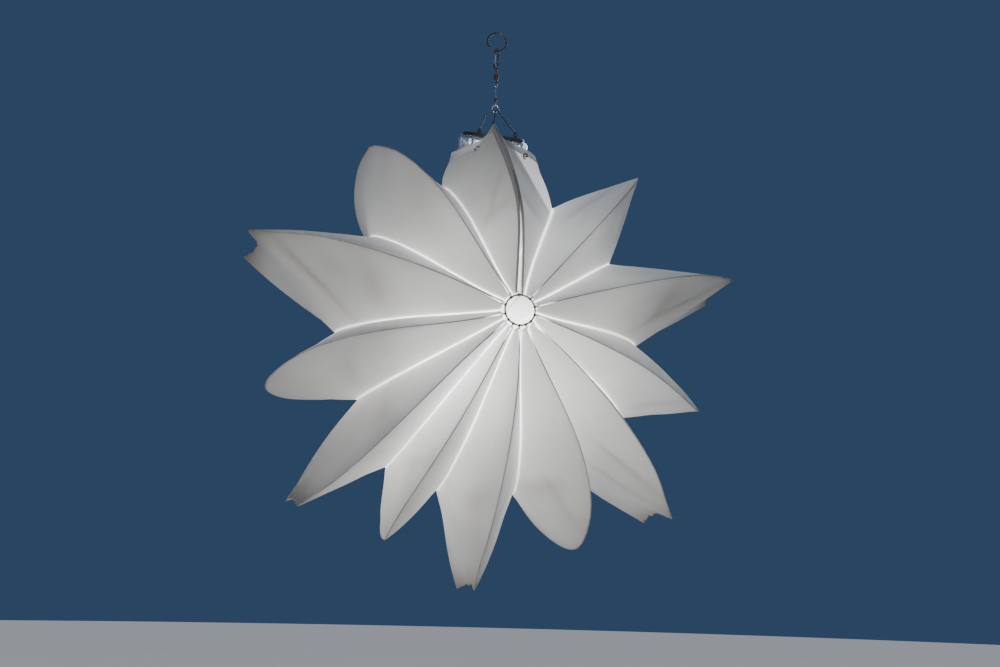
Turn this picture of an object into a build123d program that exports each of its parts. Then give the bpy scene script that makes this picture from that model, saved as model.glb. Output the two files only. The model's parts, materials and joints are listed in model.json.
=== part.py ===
"""Hanging pleated star lantern with a clear solar light cap and a swivel snap hanger.

The star is a wheel of twelve folding fins about the Y axis, which joins the open front hub
(at -Y) to the rear hub (at +Y). Fin 1 is the seam fin at the top: its two end panels spread
into a collar around the light cap. Angles of fins are degrees clockwise from straight up, as
seen from the front. Heights in this file are measured from the star's centre, and every piece
is lowered by HANG_HEIGHT when it is written, so that the origin is where a hook bears on the
hanging ring. Lengths are millimetres.
"""
from build123d import *
import os
from math import cos, exp, hypot, pi, radians, sin

# --- driving dimensions: star -------------------------------------------------
STAR_R = 230.0             # centre to the points of the fishtail fins
FIN_ANGLES = (-2.5, 40.5, 75, 106, 134.5, 157, 182.5, 205.5, 228.5, 254, 288, 324)
# How each fin has settled, from fin 1: degrees clockwise that its front and rear edges hang out
# of its plane, and its reach as a share of the common outline.
FRONT_LEAN = (0, 0, 0, 7.5, 1, -1.2, 2.5, 2.5, -4, 3.5, 0, -1)
REAR_LEAN = (0, 0, 4, 0, 2, 2, 3, 2, 0, -3, -3, -8)
FIN_REACH = (1, 0.965, 1, 0.985, 1, 1, 1, 1, 1.02, 1, 1.02, 0.975)
# The same for the valley fold after each fin, at its middle.
VALLEY_SHIFT = (5, -1, 1.5, 0, 0, 1, 3.6, -0.7, 0, -3.6, 0, -1)
VALLEY_REACH = (0.955, 0.945, 0.97, 1, 1, 1.03, 1.065, 1.10, 0.963, 1.005, 1, 1.015)
SHEET = 0.4                # thickness of the panel sheet
SEAM_GAP = 0.35            # panel centreline to its fin or valley plane
HUB_GAP = 0.65             # the same at the hub corners, where a tie passes between panels
STEPS = 8                  # facets along half a panel
HEM = 8.0                  # width of the hem band on the two end panels
STRIP_T = 0.5              # hook and loop strips that close the seam fin
STRIP_OFF = 0.38           # their centreline, from the fin plane
STRIP_SPAN = slice(18, 27)  # which quarter facets of the seam they cover
SLIT_HALF = 2.6            # half the open slit of the seam fin at the hub
SEAM_HALF = 1.0            # half gap of the seam fin where its strips close it
SLIT_END = 0.42            # the slit is open out to this radius, in star radii
COLLAR_STEPS = 12          # facets along each half of the collar
COLLAR_FROM = 0.37         # the collar's span starts at this fraction of its valley fold

# Half outlines as (radius, distance from the middle plane), both in star radii.
HUB_START = (0.066, 0.53)
ROUND_FIN = (HUB_START, (0.30, 0.56), (0.50, 0.575), (0.70, 0.465), (0.84, 0.245))
ROUND_TIP = (0.904, 0.0)
FISHTAIL_FIN = (HUB_START, (0.30, 0.595), (0.55, 0.565), (0.76, 0.45), (0.91, 0.27), (1.0, 0.157))
FISHTAIL_NOTCH = (0.945, 0.0)
SEAM_FIN = (HUB_START, (0.21, 0.575), (0.36, 0.585), (0.48, 0.52), (0.66, 0.35), (0.824, 0.157))
VALLEY = ((0.066, 0.50), (0.28, 0.345), (0.42, 0.265), (0.53, 0.165))
VALLEY_MID = (0.61, 0.0)

# --- driving dimensions: collar, light cap and hubs ---------------------------
COLLAR_R = 39.5            # plan radius of the collar round the cap
COLLAR_Y = 3.5             # its centre, a little behind the middle plane
COLLAR_Z = 169.5           # height of its sides
FRONT_RISE = 19.0          # the front point stands this much higher
REAR_RISE = 20.0           # the rear follows the slope of the cap
REAR_POINT_RISE = 6.0
POINT_SPREAD = 13.0        # degrees over which a point falls to the side's height
CAP_AT = (-1.0, 0.0, 191.0)  # centre of the cap's top face
CAP_PITCH = 18.0           # degrees, the top leans to the front
CAP_ROLL = 3.0             # degrees, the right side is lower
CAP_R = 33.0
CAP_DEPTH = 24.0
CAP_WALL = 2.0
SHOULDER = 4.0
LID_R = 29.0
LID_T = 3.0
CELL_R = 19.0
HUB_R = 12.8               # hub ring, to the middle of its wire
HUB_WIRE = 0.7
HUB_Y = HUB_START[1] * STAR_R

# --- driving dimensions: hanger -----------------------------------------------
RING_Z = 284.4
RING_R = 9.2
RING_WIRE = 0.8
HANG_HEIGHT = RING_Z + RING_R - RING_WIRE
APEX_Z = 217.5
APEX_R = 3.2
APEX_WIRE = 0.6
LEG_WIRE = 0.55
LEG_ANGLES = (-45.0, 45.0, 180.0)   # about the cap's axis, from its front
LUG_R = 24.0               # lugs, from the cap's axis
SNAP_YAW = 22.0            # the snap's loop is turned this far out of the YZ plane
SNAP_HALF = 2.6
SNAP_WIRE = 0.7
SNAP_TOP = 277.2
SNAP_BOTTOM = 257.4
BARREL_TOP = 252.0
BARREL_BOTTOM = 246.0
EYE_Z = 243.2
EYE_R = 1.7
EYE_WIRE = 0.5
LINK_LOOP = 1.5
LINK_WIRE = 0.3
RUN = 0.05                 # radial clearance of a running fit

PARTS = {}


def smooth(points, count):
    """Evenly spaced (radius, y) samples, in millimetres, of a smooth curve through points."""
    edge = Spline(*[(r * STAR_R, y * STAR_R) for r, y in points])
    return [((edge @ (i / count)).X, (edge @ (i / count)).Y) for i in range(count + 1)]


def mirrored(half, middle):
    """A front to rear outline: the half at -Y, the middle point, and the half at +Y."""
    return [(r, -y) for r, y in half] + [middle] + [(r, y) for r, y in reversed(half)]


def place(angle, sideways, sample):
    """The point at a sample (radius, y) of the plane at angle, pushed sideways clockwise."""
    a = radians(angle)
    r, y = sample
    return Vector(r * sin(a) + sideways * cos(a), y, r * cos(a) - sideways * sin(a))


def toward(start, end, distance):
    return start + (end - start).normalized() * distance


def valley_samples(fractions):
    """Samples of the valley fold at fractions of its length from front to rear."""
    points = mirrored(VALLEY, VALLEY_MID)
    edge = Spline(*[(r * STAR_R, y * STAR_R) for r, y in points])
    return [((edge @ f).X, (edge @ f).Y) for f in fractions]


def fin_outline(fishtail):
    """Outer samples of an ordinary fin and the matching fractions of its valley."""
    if not fishtail:
        return smooth(mirrored(ROUND_FIN, ROUND_TIP), 2 * STEPS), [i / (2 * STEPS) for i in range(2 * STEPS + 1)]
    front = [(r, -y) for r, y in smooth(FISHTAIL_FIN, STEPS)]
    notch = (FISHTAIL_NOTCH[0] * STAR_R, 0.0)
    shoulder = ((front[-1][0] + notch[0]) / 2 - 0.012 * STAR_R, front[-1][1] / 2)
    half = front + [shoulder]
    rear = [(r, -y) for r, y in reversed(half)]
    fractions = [0.40 * i / STEPS for i in range(STEPS + 1)] + [0.45]
    return half + [notch] + rear, fractions + [0.5] + [1 - f for f in reversed(fractions)]


def collar_height(angle, tip_angle, back_angle):
    """Height of the collar's edge at an angle about its axis, from the front."""
    front = FRONT_RISE * exp(-abs(angle - tip_angle) / POINT_SPREAD)
    rear = REAR_POINT_RISE * exp(-abs(back_angle - angle) / POINT_SPREAD)
    return COLLAR_Z + front + rear + REAR_RISE * max(0.0, -cos(radians(angle)))


def skin(columns, thickness):
    """A closed thin solid whose middle surface runs through columns of points."""
    rows, wide = len(columns[0]), len(columns)
    triangles = []
    for i in range(rows - 1):
        for j in range(wide - 1):
            a, b = (j, i), (j + 1, i)
            c, d = (j + 1, i + 1), (j, i + 1)
            triangles += [(a, b, c), (a, c, d)]
    at = {(j, i): columns[j][i] for j in range(wide) for i in range(rows)}
    normal = {key: Vector(0, 0, 0) for key in at}
    for t in triangles:
        n = (at[t[1]] - at[t[0]]).cross(at[t[2]] - at[t[0]])
        for key in t:
            normal[key] = normal[key] + n
    half = thickness / 2
    top = {key: at[key] + normal[key].normalized() * half for key in at}
    low = {key: at[key] - normal[key].normalized() * half for key in at}
    loops = [[top[k] for k in t] for t in triangles] + [[low[k] for k in reversed(t)] for t in triangles]
    rim = [(j, 0) for j in range(wide)] + [(wide - 1, i) for i in range(1, rows)]
    rim += [(j, rows - 1) for j in range(wide - 2, -1, -1)] + [(0, i) for i in range(rows - 2, 0, -1)]
    for k, m in zip(rim, rim[1:] + rim[:1]):
        loops += [[top[k], low[m], top[m]], [top[k], low[k], low[m]]]
    faces = [Face(Wire(Polyline(*loop, close=True).edges())) for loop in loops]
    return Solid(Shell(faces))


def half_gap(i, last):
    """Sideways distance of an ordinary fin's outer edge from the fin plane."""
    return HUB_GAP if i in (0, 1, last - 1, last) else SEAM_GAP


def lean(number, fraction):
    """Degrees that a fin's edge hangs out of its plane, at a fraction of its way to the rear."""
    most = FRONT_LEAN[number - 1] if fraction < 0.5 else REAR_LEAN[number - 1]
    return most * abs(sin(2 * pi * fraction))


def ridge_line(number, side):
    """Points of a panel's outer edge, and the fractions of its valley that they match."""
    outline, fractions = fin_outline(number % 2 == 1)
    last = len(outline) - 1
    points = []
    for i, (r, y) in enumerate(outline):
        angle = FIN_ANGLES[number - 1] + lean(number, fractions[i])
        r *= 1 + (FIN_REACH[number - 1] - 1) * min(1.0, r / STAR_R)
        points.append(place(angle, side * half_gap(i, last), (r, y)))
    return points, fractions


def valley_line(number, side, fractions):
    """Points of the valley fold on one side of a fin, at fractions of its length."""
    fold = number - 1 if side > 0 else number - 2
    points = []
    for r, y in valley_samples(fractions):
        share = min(1.0, r / (VALLEY_MID[0] * STAR_R))
        r *= 1 + (VALLEY_REACH[fold] - 1) * share
        angle = valley_plane(number, side) + VALLEY_SHIFT[fold] * share
        points.append(place(angle, -side * SEAM_GAP, (r, y)))
    return points


def fin_panel(number, side):
    """One panel of an ordinary fin; side is -1 anticlockwise of the fin plane, +1 clockwise."""
    ridge, fractions = ridge_line(number, side)
    return skin([ridge, valley_line(number, side, fractions)], SHEET)


def valley_plane(number, side):
    """Angle of the valley between a fin and its neighbour on one side."""
    angle = FIN_ANGLES[number - 1]
    other = FIN_ANGLES[(number - 1 + side) % 12]
    if side > 0 and other < angle:
        other += 360
    if side < 0 and other > angle:
        other -= 360
    return (angle + other) / 2


def slit_half(r):
    """Half gap of the seam at a radius: open at the hub, closed further out."""
    open_part = max(0.0, 1 - r / (SLIT_END * STAR_R))
    return SEAM_HALF + (SLIT_HALF - SEAM_HALF) * open_part ** 0.6


def inset(sample, target, distance):
    """A sample moved a distance towards a target, no more than 0.45 of the way."""
    (r, y), (tr, ty) = sample, target
    length = hypot(tr - r, ty - y)
    share = min(distance, 0.45 * length) / length
    return r + (tr - r) * share, y + (ty - y) * share


def collar_edge(side):
    """Edge of an end panel round the cap, between the front and the rear points."""
    tip_angle = SEAM_FIN[-1][0] * STAR_R * sin(radians(FIN_ANGLES[0])) / COLLAR_R * 180 / pi
    back_angle = side * 180 - tip_angle
    edge = []
    for i in range(1, COLLAR_STEPS + 1):
        turn = tip_angle + (back_angle - tip_angle) * i / COLLAR_STEPS
        x, y = COLLAR_R * sin(radians(turn)), COLLAR_Y - COLLAR_R * cos(radians(turn))
        x += side * SEAM_HALF if i == COLLAR_STEPS else 0
        edge.append(Vector(x, y, collar_height(turn, tip_angle, back_angle)))
    return edge


def end_panel(side):
    """An end panel of the seam fin, with its hem band lying flat along the seam."""
    front = smooth(SEAM_FIN, STEPS)
    collar = collar_edge(side)
    fractions = [COLLAR_FROM * i / STEPS for i in range(STEPS + 1)]
    middle = [COLLAR_FROM + (1 - 2 * COLLAR_FROM) * i / COLLAR_STEPS for i in range(1, COLLAR_STEPS + 1)]
    seam_valley = valley_samples(fractions)
    edge, hem = [], []
    for end in (-1, 1):
        outer = [place(FIN_ANGLES[0], side * slit_half(r), (r, end * y)) for r, y in front]
        insets = [inset((r, -y), target, HEM) for (r, y), target in zip(front, seam_valley)]
        inner = [place(FIN_ANGLES[0], side * slit_half(s[0]), (r, -end * y))
                 for (r, y), s in zip(insets, front)]
        edge.append(outer)
        hem.append(inner)
    band = [toward(a, b, HEM) for a, b in zip(collar, valley_line(1, side, middle))]
    rear_fractions = [1 - f for f in reversed(fractions[:-1])]
    valley = valley_line(1, side, fractions + middle + rear_fractions)
    outer = edge[0] + collar + edge[1][-2::-1]
    inner = hem[0] + band + hem[1][-2::-1]
    return skin([outer, inner, valley], SHEET)


def seam_strip(side):
    """Closing strips on one end panel: one at the front and one at the rear of the seam."""
    strips = []
    for rear in (1, -1):
        line = smooth(SEAM_FIN, 4 * STEPS)[STRIP_SPAN]
        edge = [(r - 0.6, -rear * (y - 0.6)) for r, y in line]
        inner = [(r - 0.6 * HEM, -rear * (y - 0.6 * HEM)) for r, y in line]
        rail = [[place(FIN_ANGLES[0], side * STRIP_OFF, s) for s in samples] for samples in (edge, inner)]
        strips.append(skin(rail, STRIP_T))
    return strips


def torus(radius, wire, at, normal):
    return Plane(origin=at, z_dir=normal) * Torus(radius, wire)


def rod(start, end, radius):
    """A round bar between two points."""
    direction = Vector(*end) - Vector(*start)
    return Plane(origin=start, z_dir=direction) * Cylinder(
        radius, direction.length, align=(Align.CENTER, Align.CENTER, Align.MIN))


def wire_along(points, radius, bend):
    """A round wire along straight runs joined by arcs."""
    path = FilletPolyline(*points, radius=bend)
    start = Plane(origin=path @ 0, z_dir=path % 0)
    return sweep(start * Circle(radius), path=path)


def hub_parts():
    for name, sign in (("front", -1), ("rear", 1)):
        y = sign * HUB_Y
        PARTS[f"{name}_hub_ring"] = [torus(HUB_R, HUB_WIRE, (0, y, 0), (0, 1, 0))]
        ties = []
        for number, angle in enumerate(FIN_ANGLES, start=1):
            sides = (-1.9, 1.9) if number == 1 else (0.0,)
            for sideways in sides:
                a = radians(angle)
                centre = place(angle, sideways, (HUB_R + 1.15, y))
                ties.append(torus(2.2, 0.25, centre, (cos(a), 0, -sin(a))))
        PARTS[f"{name}_hub_ties"] = ties


def cap_frame():
    """The cap's own frame: its top face's centre, Z along its axis, -Y to the front."""
    return Location(CAP_AT) * Rotation(CAP_PITCH, 0, 0) * Rotation(0, CAP_ROLL, 0)


def polar(radius, from_front, z=0.0):
    """A point about the cap's axis; from_front is degrees, to the right when positive."""
    a = radians(from_front)
    return (radius * sin(a), -radius * cos(a), z)


def cylinder_at(point, radius, height):
    """A cylinder standing on a point."""
    return Pos(*point) * Cylinder(radius, height, align=(Align.CENTER, Align.CENTER, Align.MIN))


def box_at(x, y, z, size_x, size_y, size_z):
    """A box centred on x and y, standing on z."""
    return Pos(x, y, z) * Box(size_x, size_y, size_z, align=(Align.CENTER, Align.CENTER, Align.MIN))


# Inner layout of the cap, in the cap's frame.
BASE_Z = -CAP_DEPTH
BASE_T = 2.0
BASE_TOP = BASE_Z + BASE_T
BOARD_Z = -14.0
BOARD_T = 1.6
BATTERY_Y = 12.0
BATTERY_R = 5.0
BATTERY_HALF = 20.5
DOOR_X, DOOR_Y = 45.0, 12.6
DOOR_CLEAR = 0.3
PILLAR_R = 26.4
PILLAR_ANGLES = (180.0, 60.0, -60.0)
LED_SPOTS = ((-8.0, -7.0), (8.0, -7.0), (0.0, 0.0))
SWITCH_AT = (0.0, -16.5)
SWITCH_TRAVEL = 2.5
HOOK_ANGLES = (-30.0, 31.0, 148.0, -148.0)
HOOK_Z = -16.0
HOOK_WIRE = 0.55
CURL_R = 2.4
CURL_OFF = 5.8             # the curl stands this far outside the collar
CURL_TURN = 290.0


def cap_housing():
    """Clear cup, open below, with a rounded shoulder, three screw pillars and hook holes."""
    inner = CAP_R - CAP_WALL
    with BuildPart() as cup:
        with BuildSketch(Plane.XZ):
            with BuildLine():
                Line((CAP_R, BASE_Z), (CAP_R, -LID_T - SHOULDER))
                RadiusArc((CAP_R, -LID_T - SHOULDER), (CAP_R - SHOULDER, -LID_T), -SHOULDER)
                Polyline((CAP_R - SHOULDER, -LID_T), (25.0, -LID_T), (25.0, -LID_T - CAP_WALL),
                         (CAP_R - SHOULDER, -LID_T - CAP_WALL))
                RadiusArc((CAP_R - SHOULDER, -LID_T - CAP_WALL), (inner, -LID_T - SHOULDER),
                          SHOULDER - CAP_WALL)
                Polyline((inner, -LID_T - SHOULDER), (inner, BASE_Z), (CAP_R, BASE_Z))
            make_face()
        revolve(axis=Axis.Z)
    cup = cup.part
    for angle in PILLAR_ANGLES:
        foot = polar(PILLAR_R, angle, BASE_TOP)
        cup += cylinder_at(foot, 2.8, -LID_T - 1.0 - BASE_TOP)
        cup -= cylinder_at(foot, 1.1, 10.0)
    groove = cylinder_at((0, 0, -LID_T - 0.9), 27.6, 2.0) - cylinder_at((0, 0, -LID_T - 0.9), 26.4, 2.0)
    cup -= groove
    for angle in HOOK_ANGLES:
        cup -= rod(polar(inner - 2, angle, HOOK_Z), polar(CAP_R + 2, angle, HOOK_Z), HOOK_WIRE + 0.35)
    return cup


def cap_lid():
    """Dark round plate with a pocket for the cell and three arched lugs."""
    lid = cylinder_at((0, 0, -LID_T), LID_R, LID_T)
    lid = chamfer(lid.edges().group_by(Axis.Z)[-1], 0.5)
    lid -= cylinder_at((0, 0, -1.3), CELL_R + 0.1, 2.0)
    for angle in LEG_ANGLES:
        a = radians(angle)
        arch = torus(2.2, 0.6, polar(LUG_R, angle), (sin(a), -cos(a), 0))
        lid += arch & box_at(*polar(LUG_R, angle, -0.6), 8, 8, 6)
    return lid


def cap_base():
    """Round cover that closes the cup, with holes for lamps, switch and battery door."""
    base = cylinder_at((0, 0, BASE_Z), CAP_R - CAP_WALL - 0.05, BASE_T)
    for x, y in LED_SPOTS:
        base -= cylinder_at((x, y, BASE_Z - 1), 2.7, 4.0)
    base -= box_at(*SWITCH_AT, BASE_Z - 1, 8.0, 2.6, 4.0)
    base -= box_at(0, BATTERY_Y, BASE_Z - 1, DOOR_X + 2 * DOOR_CLEAR, DOOR_Y + 2 * DOOR_CLEAR, 4.0)
    for x in (-14.5, 14.5):
        for y in (-1.0, -17.0):
            base += cylinder_at((x, y, BASE_TOP), 1.7, BOARD_Z - BASE_TOP)
    for x in (-1, 1):
        base += box_at(x * 24.6, BATTERY_Y, BASE_TOP, 1.2, 10.0, 11.0)
    for angle in PILLAR_ANGLES:
        base -= cylinder_at(polar(PILLAR_R, angle, BASE_Z - 1), 1.3, 4.0)
    return base


def leds():
    """Round lamps with domed ends that look down into the star, each on two leads."""
    lamps = []
    for x, y in LED_SPOTS:
        lamp = cylinder_at((x, y, -25.5), 2.5, 8.0) + Pos(x, y, -25.5) * Sphere(2.5)
        lamp += cylinder_at((x, y, -18.5), 2.9, 1.0)
        for dx in (-1.27, 1.27):
            lamp += cylinder_at((x + dx, y, -17.6), 0.3, BOARD_Z + 17.6)
        lamps.append(lamp)
    return lamps


def battery_contacts():
    """Flat tab at one end of the battery and a conical spring of rings at the other."""
    tab = box_at(-23.8, BATTERY_Y, BASE_TOP + 0.2, 0.4, 8.0, 9.6)
    spring = box_at(23.8, BATTERY_Y, BASE_TOP + 0.2, 0.4, 8.0, 9.6)
    z = BASE_TOP + 0.5 + BATTERY_R
    for i in range(3):
        spring += torus(3.2 - 0.35 * i, 0.35, (23.3 - 0.5 * i, BATTERY_Y, z), (1, 0, 0))
    return [tab, spring]


def battery_door():
    """Cover under the battery, hinged at its left end and latched at its right."""
    door = box_at(0, BATTERY_Y, BASE_Z, DOOR_X, DOOR_Y, 1.6)
    door += box_at(DOOR_X / 2 - 4, BATTERY_Y, BASE_Z - 1.0, 1.6, 8.0, 1.2)
    return door


def switch_parts():
    x, y = SWITCH_AT
    body = box_at(x, y, BOARD_Z - 4.0, 10.0, 4.6, 4.0)
    body -= box_at(x, y, BOARD_Z - 4.5, 7.6, 2.4, 2.0)
    knob = box_at(x - SWITCH_TRAVEL / 2, y, BASE_Z - 1.8, 3.2, 1.9, 1.8 - BASE_Z + BOARD_Z - 2.8)
    return body, knob


def cap_parts():
    frame = cap_frame()
    body, knob = switch_parts()
    battery_z = BASE_TOP + 0.5 + BATTERY_R
    battery = rod((-BATTERY_HALF, BATTERY_Y, battery_z), (BATTERY_HALF, BATTERY_Y, battery_z), BATTERY_R)
    battery += rod((-BATTERY_HALF - 1.2, BATTERY_Y, battery_z), (-BATTERY_HALF, BATTERY_Y, battery_z), 2.0)
    gasket = cylinder_at((0, 0, -LID_T - 0.9), 27.5, 0.9) - cylinder_at((0, 0, -LID_T - 0.9), 26.5, 0.9)
    screws = []
    for angle in PILLAR_ANGLES:
        head = cylinder_at(polar(PILLAR_R, angle, BASE_Z - 1.2), 2.2, 1.2)
        head -= box_at(*polar(PILLAR_R, angle, BASE_Z - 1.2)[:2], BASE_Z - 1.2, 3.4, 0.6, 0.5)
        screws.append(head + cylinder_at(polar(PILLAR_R, angle, BASE_Z), 1.0, 8.0))
    pieces = {
        "cap_housing": [cap_housing()],
        "cap_lid": [cap_lid()],
        "cap_gasket": [gasket],
        "solar_cell": [cylinder_at((0, 0, -1.3), CELL_R, 1.1)],
        "cap_base": [cap_base()],
        "cap_screws": screws,
        "circuit_board": [box_at(0, -8.5, BOARD_Z, 36.0, 21.0, BOARD_T)],
        "leds": leds(),
        "battery": [battery],
        "battery_contacts": battery_contacts(),
        "battery_door": [battery_door()],
        "switch_body": [body],
        "switch_knob": [knob],
    }
    for name, solids in pieces.items():
        PARTS[name] = [frame * solid for solid in solids]


def hook_line(angle):
    """A collar hook's shank in the lantern's frame: from inside the cap's wall outward."""
    frame = cap_frame()
    inside = frame * Pos(*polar(CAP_R - CAP_WALL - 1.2, angle, HOOK_Z))
    outside = frame * Pos(*polar(CAP_R + 1.0, angle, HOOK_Z))
    start, through = Vector(*inside.position), Vector(*outside.position)
    return start, (through - start).normalized()


def collar_reach(start, direction):
    """Distance along a hook's shank to the collar's upright wall."""
    x, y = start.X, start.Y - COLLAR_Y
    a = direction.X ** 2 + direction.Y ** 2
    b = 2 * (x * direction.X + y * direction.Y)
    c = x * x + y * y - COLLAR_R ** 2
    return (-b + (b * b - 4 * a * c) ** 0.5) / (2 * a)


def seam_and_hooks():
    """End panels with their hook holes, and the four wire hooks that tie them to the cap."""
    panels = {-1: end_panel(-1), 1: end_panel(1)}
    hooks = []
    for angle in HOOK_ANGLES:
        start, direction = hook_line(angle)
        reach = collar_reach(start, direction)
        side = 1 if angle > 0 else -1
        drill = rod(start + direction * (reach - 9), start + direction * (reach + 9), 1.4)
        panels[side] = max((panels[side] - drill).solids(), key=lambda s: s.volume)
        end = start + direction * (reach + CURL_OFF)
        across = direction.cross(Vector(0, 0, 1)).normalized() * side
        curl_plane = Plane(origin=end + across * CURL_R, x_dir=across * -1, z_dir=direction)
        curl = curl_plane * Torus(CURL_R, HOOK_WIRE, major_angle=CURL_TURN)
        hook = rod(start, end, HOOK_WIRE + 0.02) + curl
        hook += Pos(*end) * Sphere(HOOK_WIRE + 0.2)
        hook += Pos(*start) * Sphere(1.2)
        hooks.append(hook)
    PARTS["fin_01_panel_a"] = [panels[-1]]
    PARTS["fin_01_panel_b"] = [panels[1]]
    PARTS["collar_hooks"] = hooks
    PARTS["seam_strip_left"] = seam_strip(-1)
    PARTS["seam_strip_right"] = seam_strip(1)


LEG_STARTS = (-140.0, -40.0, -90.0)  # where each leg's eye hangs on the apex ring
LEG_BENDS = (
    ((-10.3, -4.0, 209.5), (-12.8, -9.0, 201.5)),
    ((7.0, -4.0, 208.0), (10.8, -8.5, 199.8)),
    ((0.5, 7.0, 209.0), (-0.5, 15.0, 204.5)),
)
EYE_SMALL = 1.35
EYE_SMALL_WIRE = 0.45
LUG_EYE = 1.9
LUG_EYE_HEIGHT = 2.65


def legs():
    """Three bent wire legs from the apex ring to the lugs on the cap's lid."""
    frame = cap_frame()
    for name, ring_angle, bends, lug_angle in zip(
            ("left_leg", "right_leg", "rear_leg"), LEG_STARTS, LEG_BENDS, LEG_ANGLES):
        a = radians(ring_angle)
        outward = Vector(cos(a), 0, sin(a))
        centre = Vector(0, 0, APEX_Z) + outward * APEX_R
        top_eye = torus(EYE_SMALL, EYE_SMALL_WIRE, centre, outward.cross(Vector(0, 1, 0)))
        lug = frame * Pos(*polar(LUG_R, lug_angle, LUG_EYE_HEIGHT))
        b = radians(lug_angle)
        low_eye = frame * torus(LUG_EYE, EYE_SMALL_WIRE, polar(LUG_R, lug_angle, LUG_EYE_HEIGHT),
                                (cos(b), sin(b), 0))
        eye_top = Vector(*(frame * Pos(*polar(LUG_R, lug_angle, LUG_EYE_HEIGHT + LUG_EYE))).position)
        start = centre + outward * EYE_SMALL
        points = [start, Vector(*bends[0]), Vector(*bends[1]), eye_top]
        wire = wire_along(points, LEG_WIRE, 2.5)
        PARTS[name] = [wire + top_eye + low_eye]
    PARTS["apex_ring"] = [torus(APEX_R, APEX_WIRE, (0, 0, APEX_Z), (0, 1, 0))]


def snap_parts():
    """Wire snap loop with its gate, hanging from the ring in a plane turned by SNAP_YAW."""
    turn = Rotation(0, 0, SNAP_YAW)
    top, low = SNAP_TOP - SNAP_HALF, SNAP_BOTTOM + SNAP_HALF
    gate_low, gate_high = low + 2.2, top - 2.2

    def half_ring(z, upper):
        ring = torus(SNAP_HALF, SNAP_WIRE, (0, 0, z), (1, 0, 0))
        return ring & box_at(0, 0, z if upper else z - 8, 12, 12, 8)

    loop = half_ring(top, True) + half_ring(low, False)
    loop += rod((0, -SNAP_HALF, low), (0, -SNAP_HALF, top), SNAP_WIRE)
    loop += rod((0, SNAP_HALF, low), (0, SNAP_HALF, gate_low - 1.4), SNAP_WIRE)
    loop += rod((0, SNAP_HALF, gate_high + 0.8), (0, SNAP_HALF, top), SNAP_WIRE)
    loop += rod((0, 0, SNAP_BOTTOM), (0, 0, BARREL_TOP - 1.5), 0.8)
    ear = box_at(-0.95, SNAP_HALF, gate_low - 2.6, 0.7, 1.4, 3.4)
    ear += box_at(-0.45, SNAP_HALF, gate_low - 2.6, 1.7, 1.3, 1.0)
    pin = rod((-1.2, SNAP_HALF, gate_low), (1.0, SNAP_HALF, gate_low), 0.4)
    loop += ear + pin
    gate = rod((-0.55, SNAP_HALF, gate_low), (0.55, SNAP_HALF, gate_low), 1.05)
    gate += rod((0, SNAP_HALF, gate_low + 0.7), (0, SNAP_HALF, gate_high + 0.4), 0.5)
    gate -= rod((-2, SNAP_HALF, gate_low), (2, SNAP_HALF, gate_low), 0.4 + RUN)
    PARTS["snap_loop"] = [turn * loop]
    PARTS["snap_gate"] = [turn * gate]


def swivel_parts():
    """Barrel swivel: the snap's stem is fixed in its top, and the lower eye turns in it."""
    length = BARREL_TOP - BARREL_BOTTOM
    barrel = cylinder_at((0, 0, BARREL_BOTTOM), 2.1, length)
    barrel = fillet(barrel.edges().group_by(Axis.Z)[0] + barrel.edges().group_by(Axis.Z)[-1], 0.9)
    barrel -= cylinder_at((0, 0, BARREL_BOTTOM - 1), 0.6 + RUN, 3.0)
    barrel -= cylinder_at((0, 0, BARREL_BOTTOM + 1.0), 1.3, 2.6)
    barrel -= cylinder_at((0, 0, BARREL_TOP - 1.5), 0.8, 3.0)
    eye = torus(EYE_R, EYE_WIRE, (0, 0, EYE_Z), (1, 0, 0))
    eye += cylinder_at((0, 0, EYE_Z + EYE_R), 0.6, BARREL_BOTTOM + 1.5 - EYE_Z - EYE_R)
    eye += cylinder_at((0, 0, BARREL_BOTTOM + 1.3), 1.15, 1.6)
    PARTS["swivel_barrel"] = [barrel]
    PARTS["swivel_eye"] = [eye]


def link_parts():
    """Thin wire link, looped at both ends, with a crimped sleeve over its lower splice."""
    upper = EYE_Z - EYE_R + EYE_WIRE + LINK_WIRE + 0.1 - LINK_LOOP
    lower = APEX_Z + APEX_R - APEX_WIRE - LINK_WIRE - 0.1 + LINK_LOOP
    sleeve_low, sleeve_high = lower + LINK_LOOP - 0.1, lower + LINK_LOOP + 5.0
    link = torus(LINK_LOOP, LINK_WIRE, (0, 0, upper), (0, 1, 0))
    link += torus(LINK_LOOP, LINK_WIRE, (0, 0, lower), (1, 0, 0))
    link += rod((0, 0, lower + LINK_LOOP), (0, 0, upper - LINK_LOOP), LINK_WIRE)
    sleeve = cylinder_at((0, 0, sleeve_low + 0.5), 1.3, sleeve_high - sleeve_low - 0.5)
    sleeve = fillet(sleeve.edges().group_by(Axis.Z)[0] + sleeve.edges().group_by(Axis.Z)[-1], 0.4)
    PARTS["link_wire"] = [link]
    PARTS["crimp_sleeve"] = [sleeve - cylinder_at((0, 0, sleeve_low - 1), LINK_WIRE, 9.0)]


def build():
    for number in range(2, 13):
        PARTS[f"fin_{number:02d}_panel_a"] = [fin_panel(number, -1)]
        PARTS[f"fin_{number:02d}_panel_b"] = [fin_panel(number, 1)]
    seam_and_hooks()
    hub_parts()
    cap_parts()
    legs()
    link_parts()
    swivel_parts()
    snap_parts()
    PARTS["hang_ring"] = [torus(RING_R, RING_WIRE, (0, 0, RING_Z), (0, 1, 0))]


def write():
    os.makedirs("parts", exist_ok=True)
    for name, solids in PARTS.items():
        moved = [Pos(0, 0, -HANG_HEIGHT) * solid for solid in solids]
        shape = moved[0] if len(moved) == 1 else Compound(children=moved)
        export_step(shape, f"parts/{name}.step")


build()
write()
print("nodes", len(PARTS), "origin height", round(HANG_HEIGHT, 3))
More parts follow.
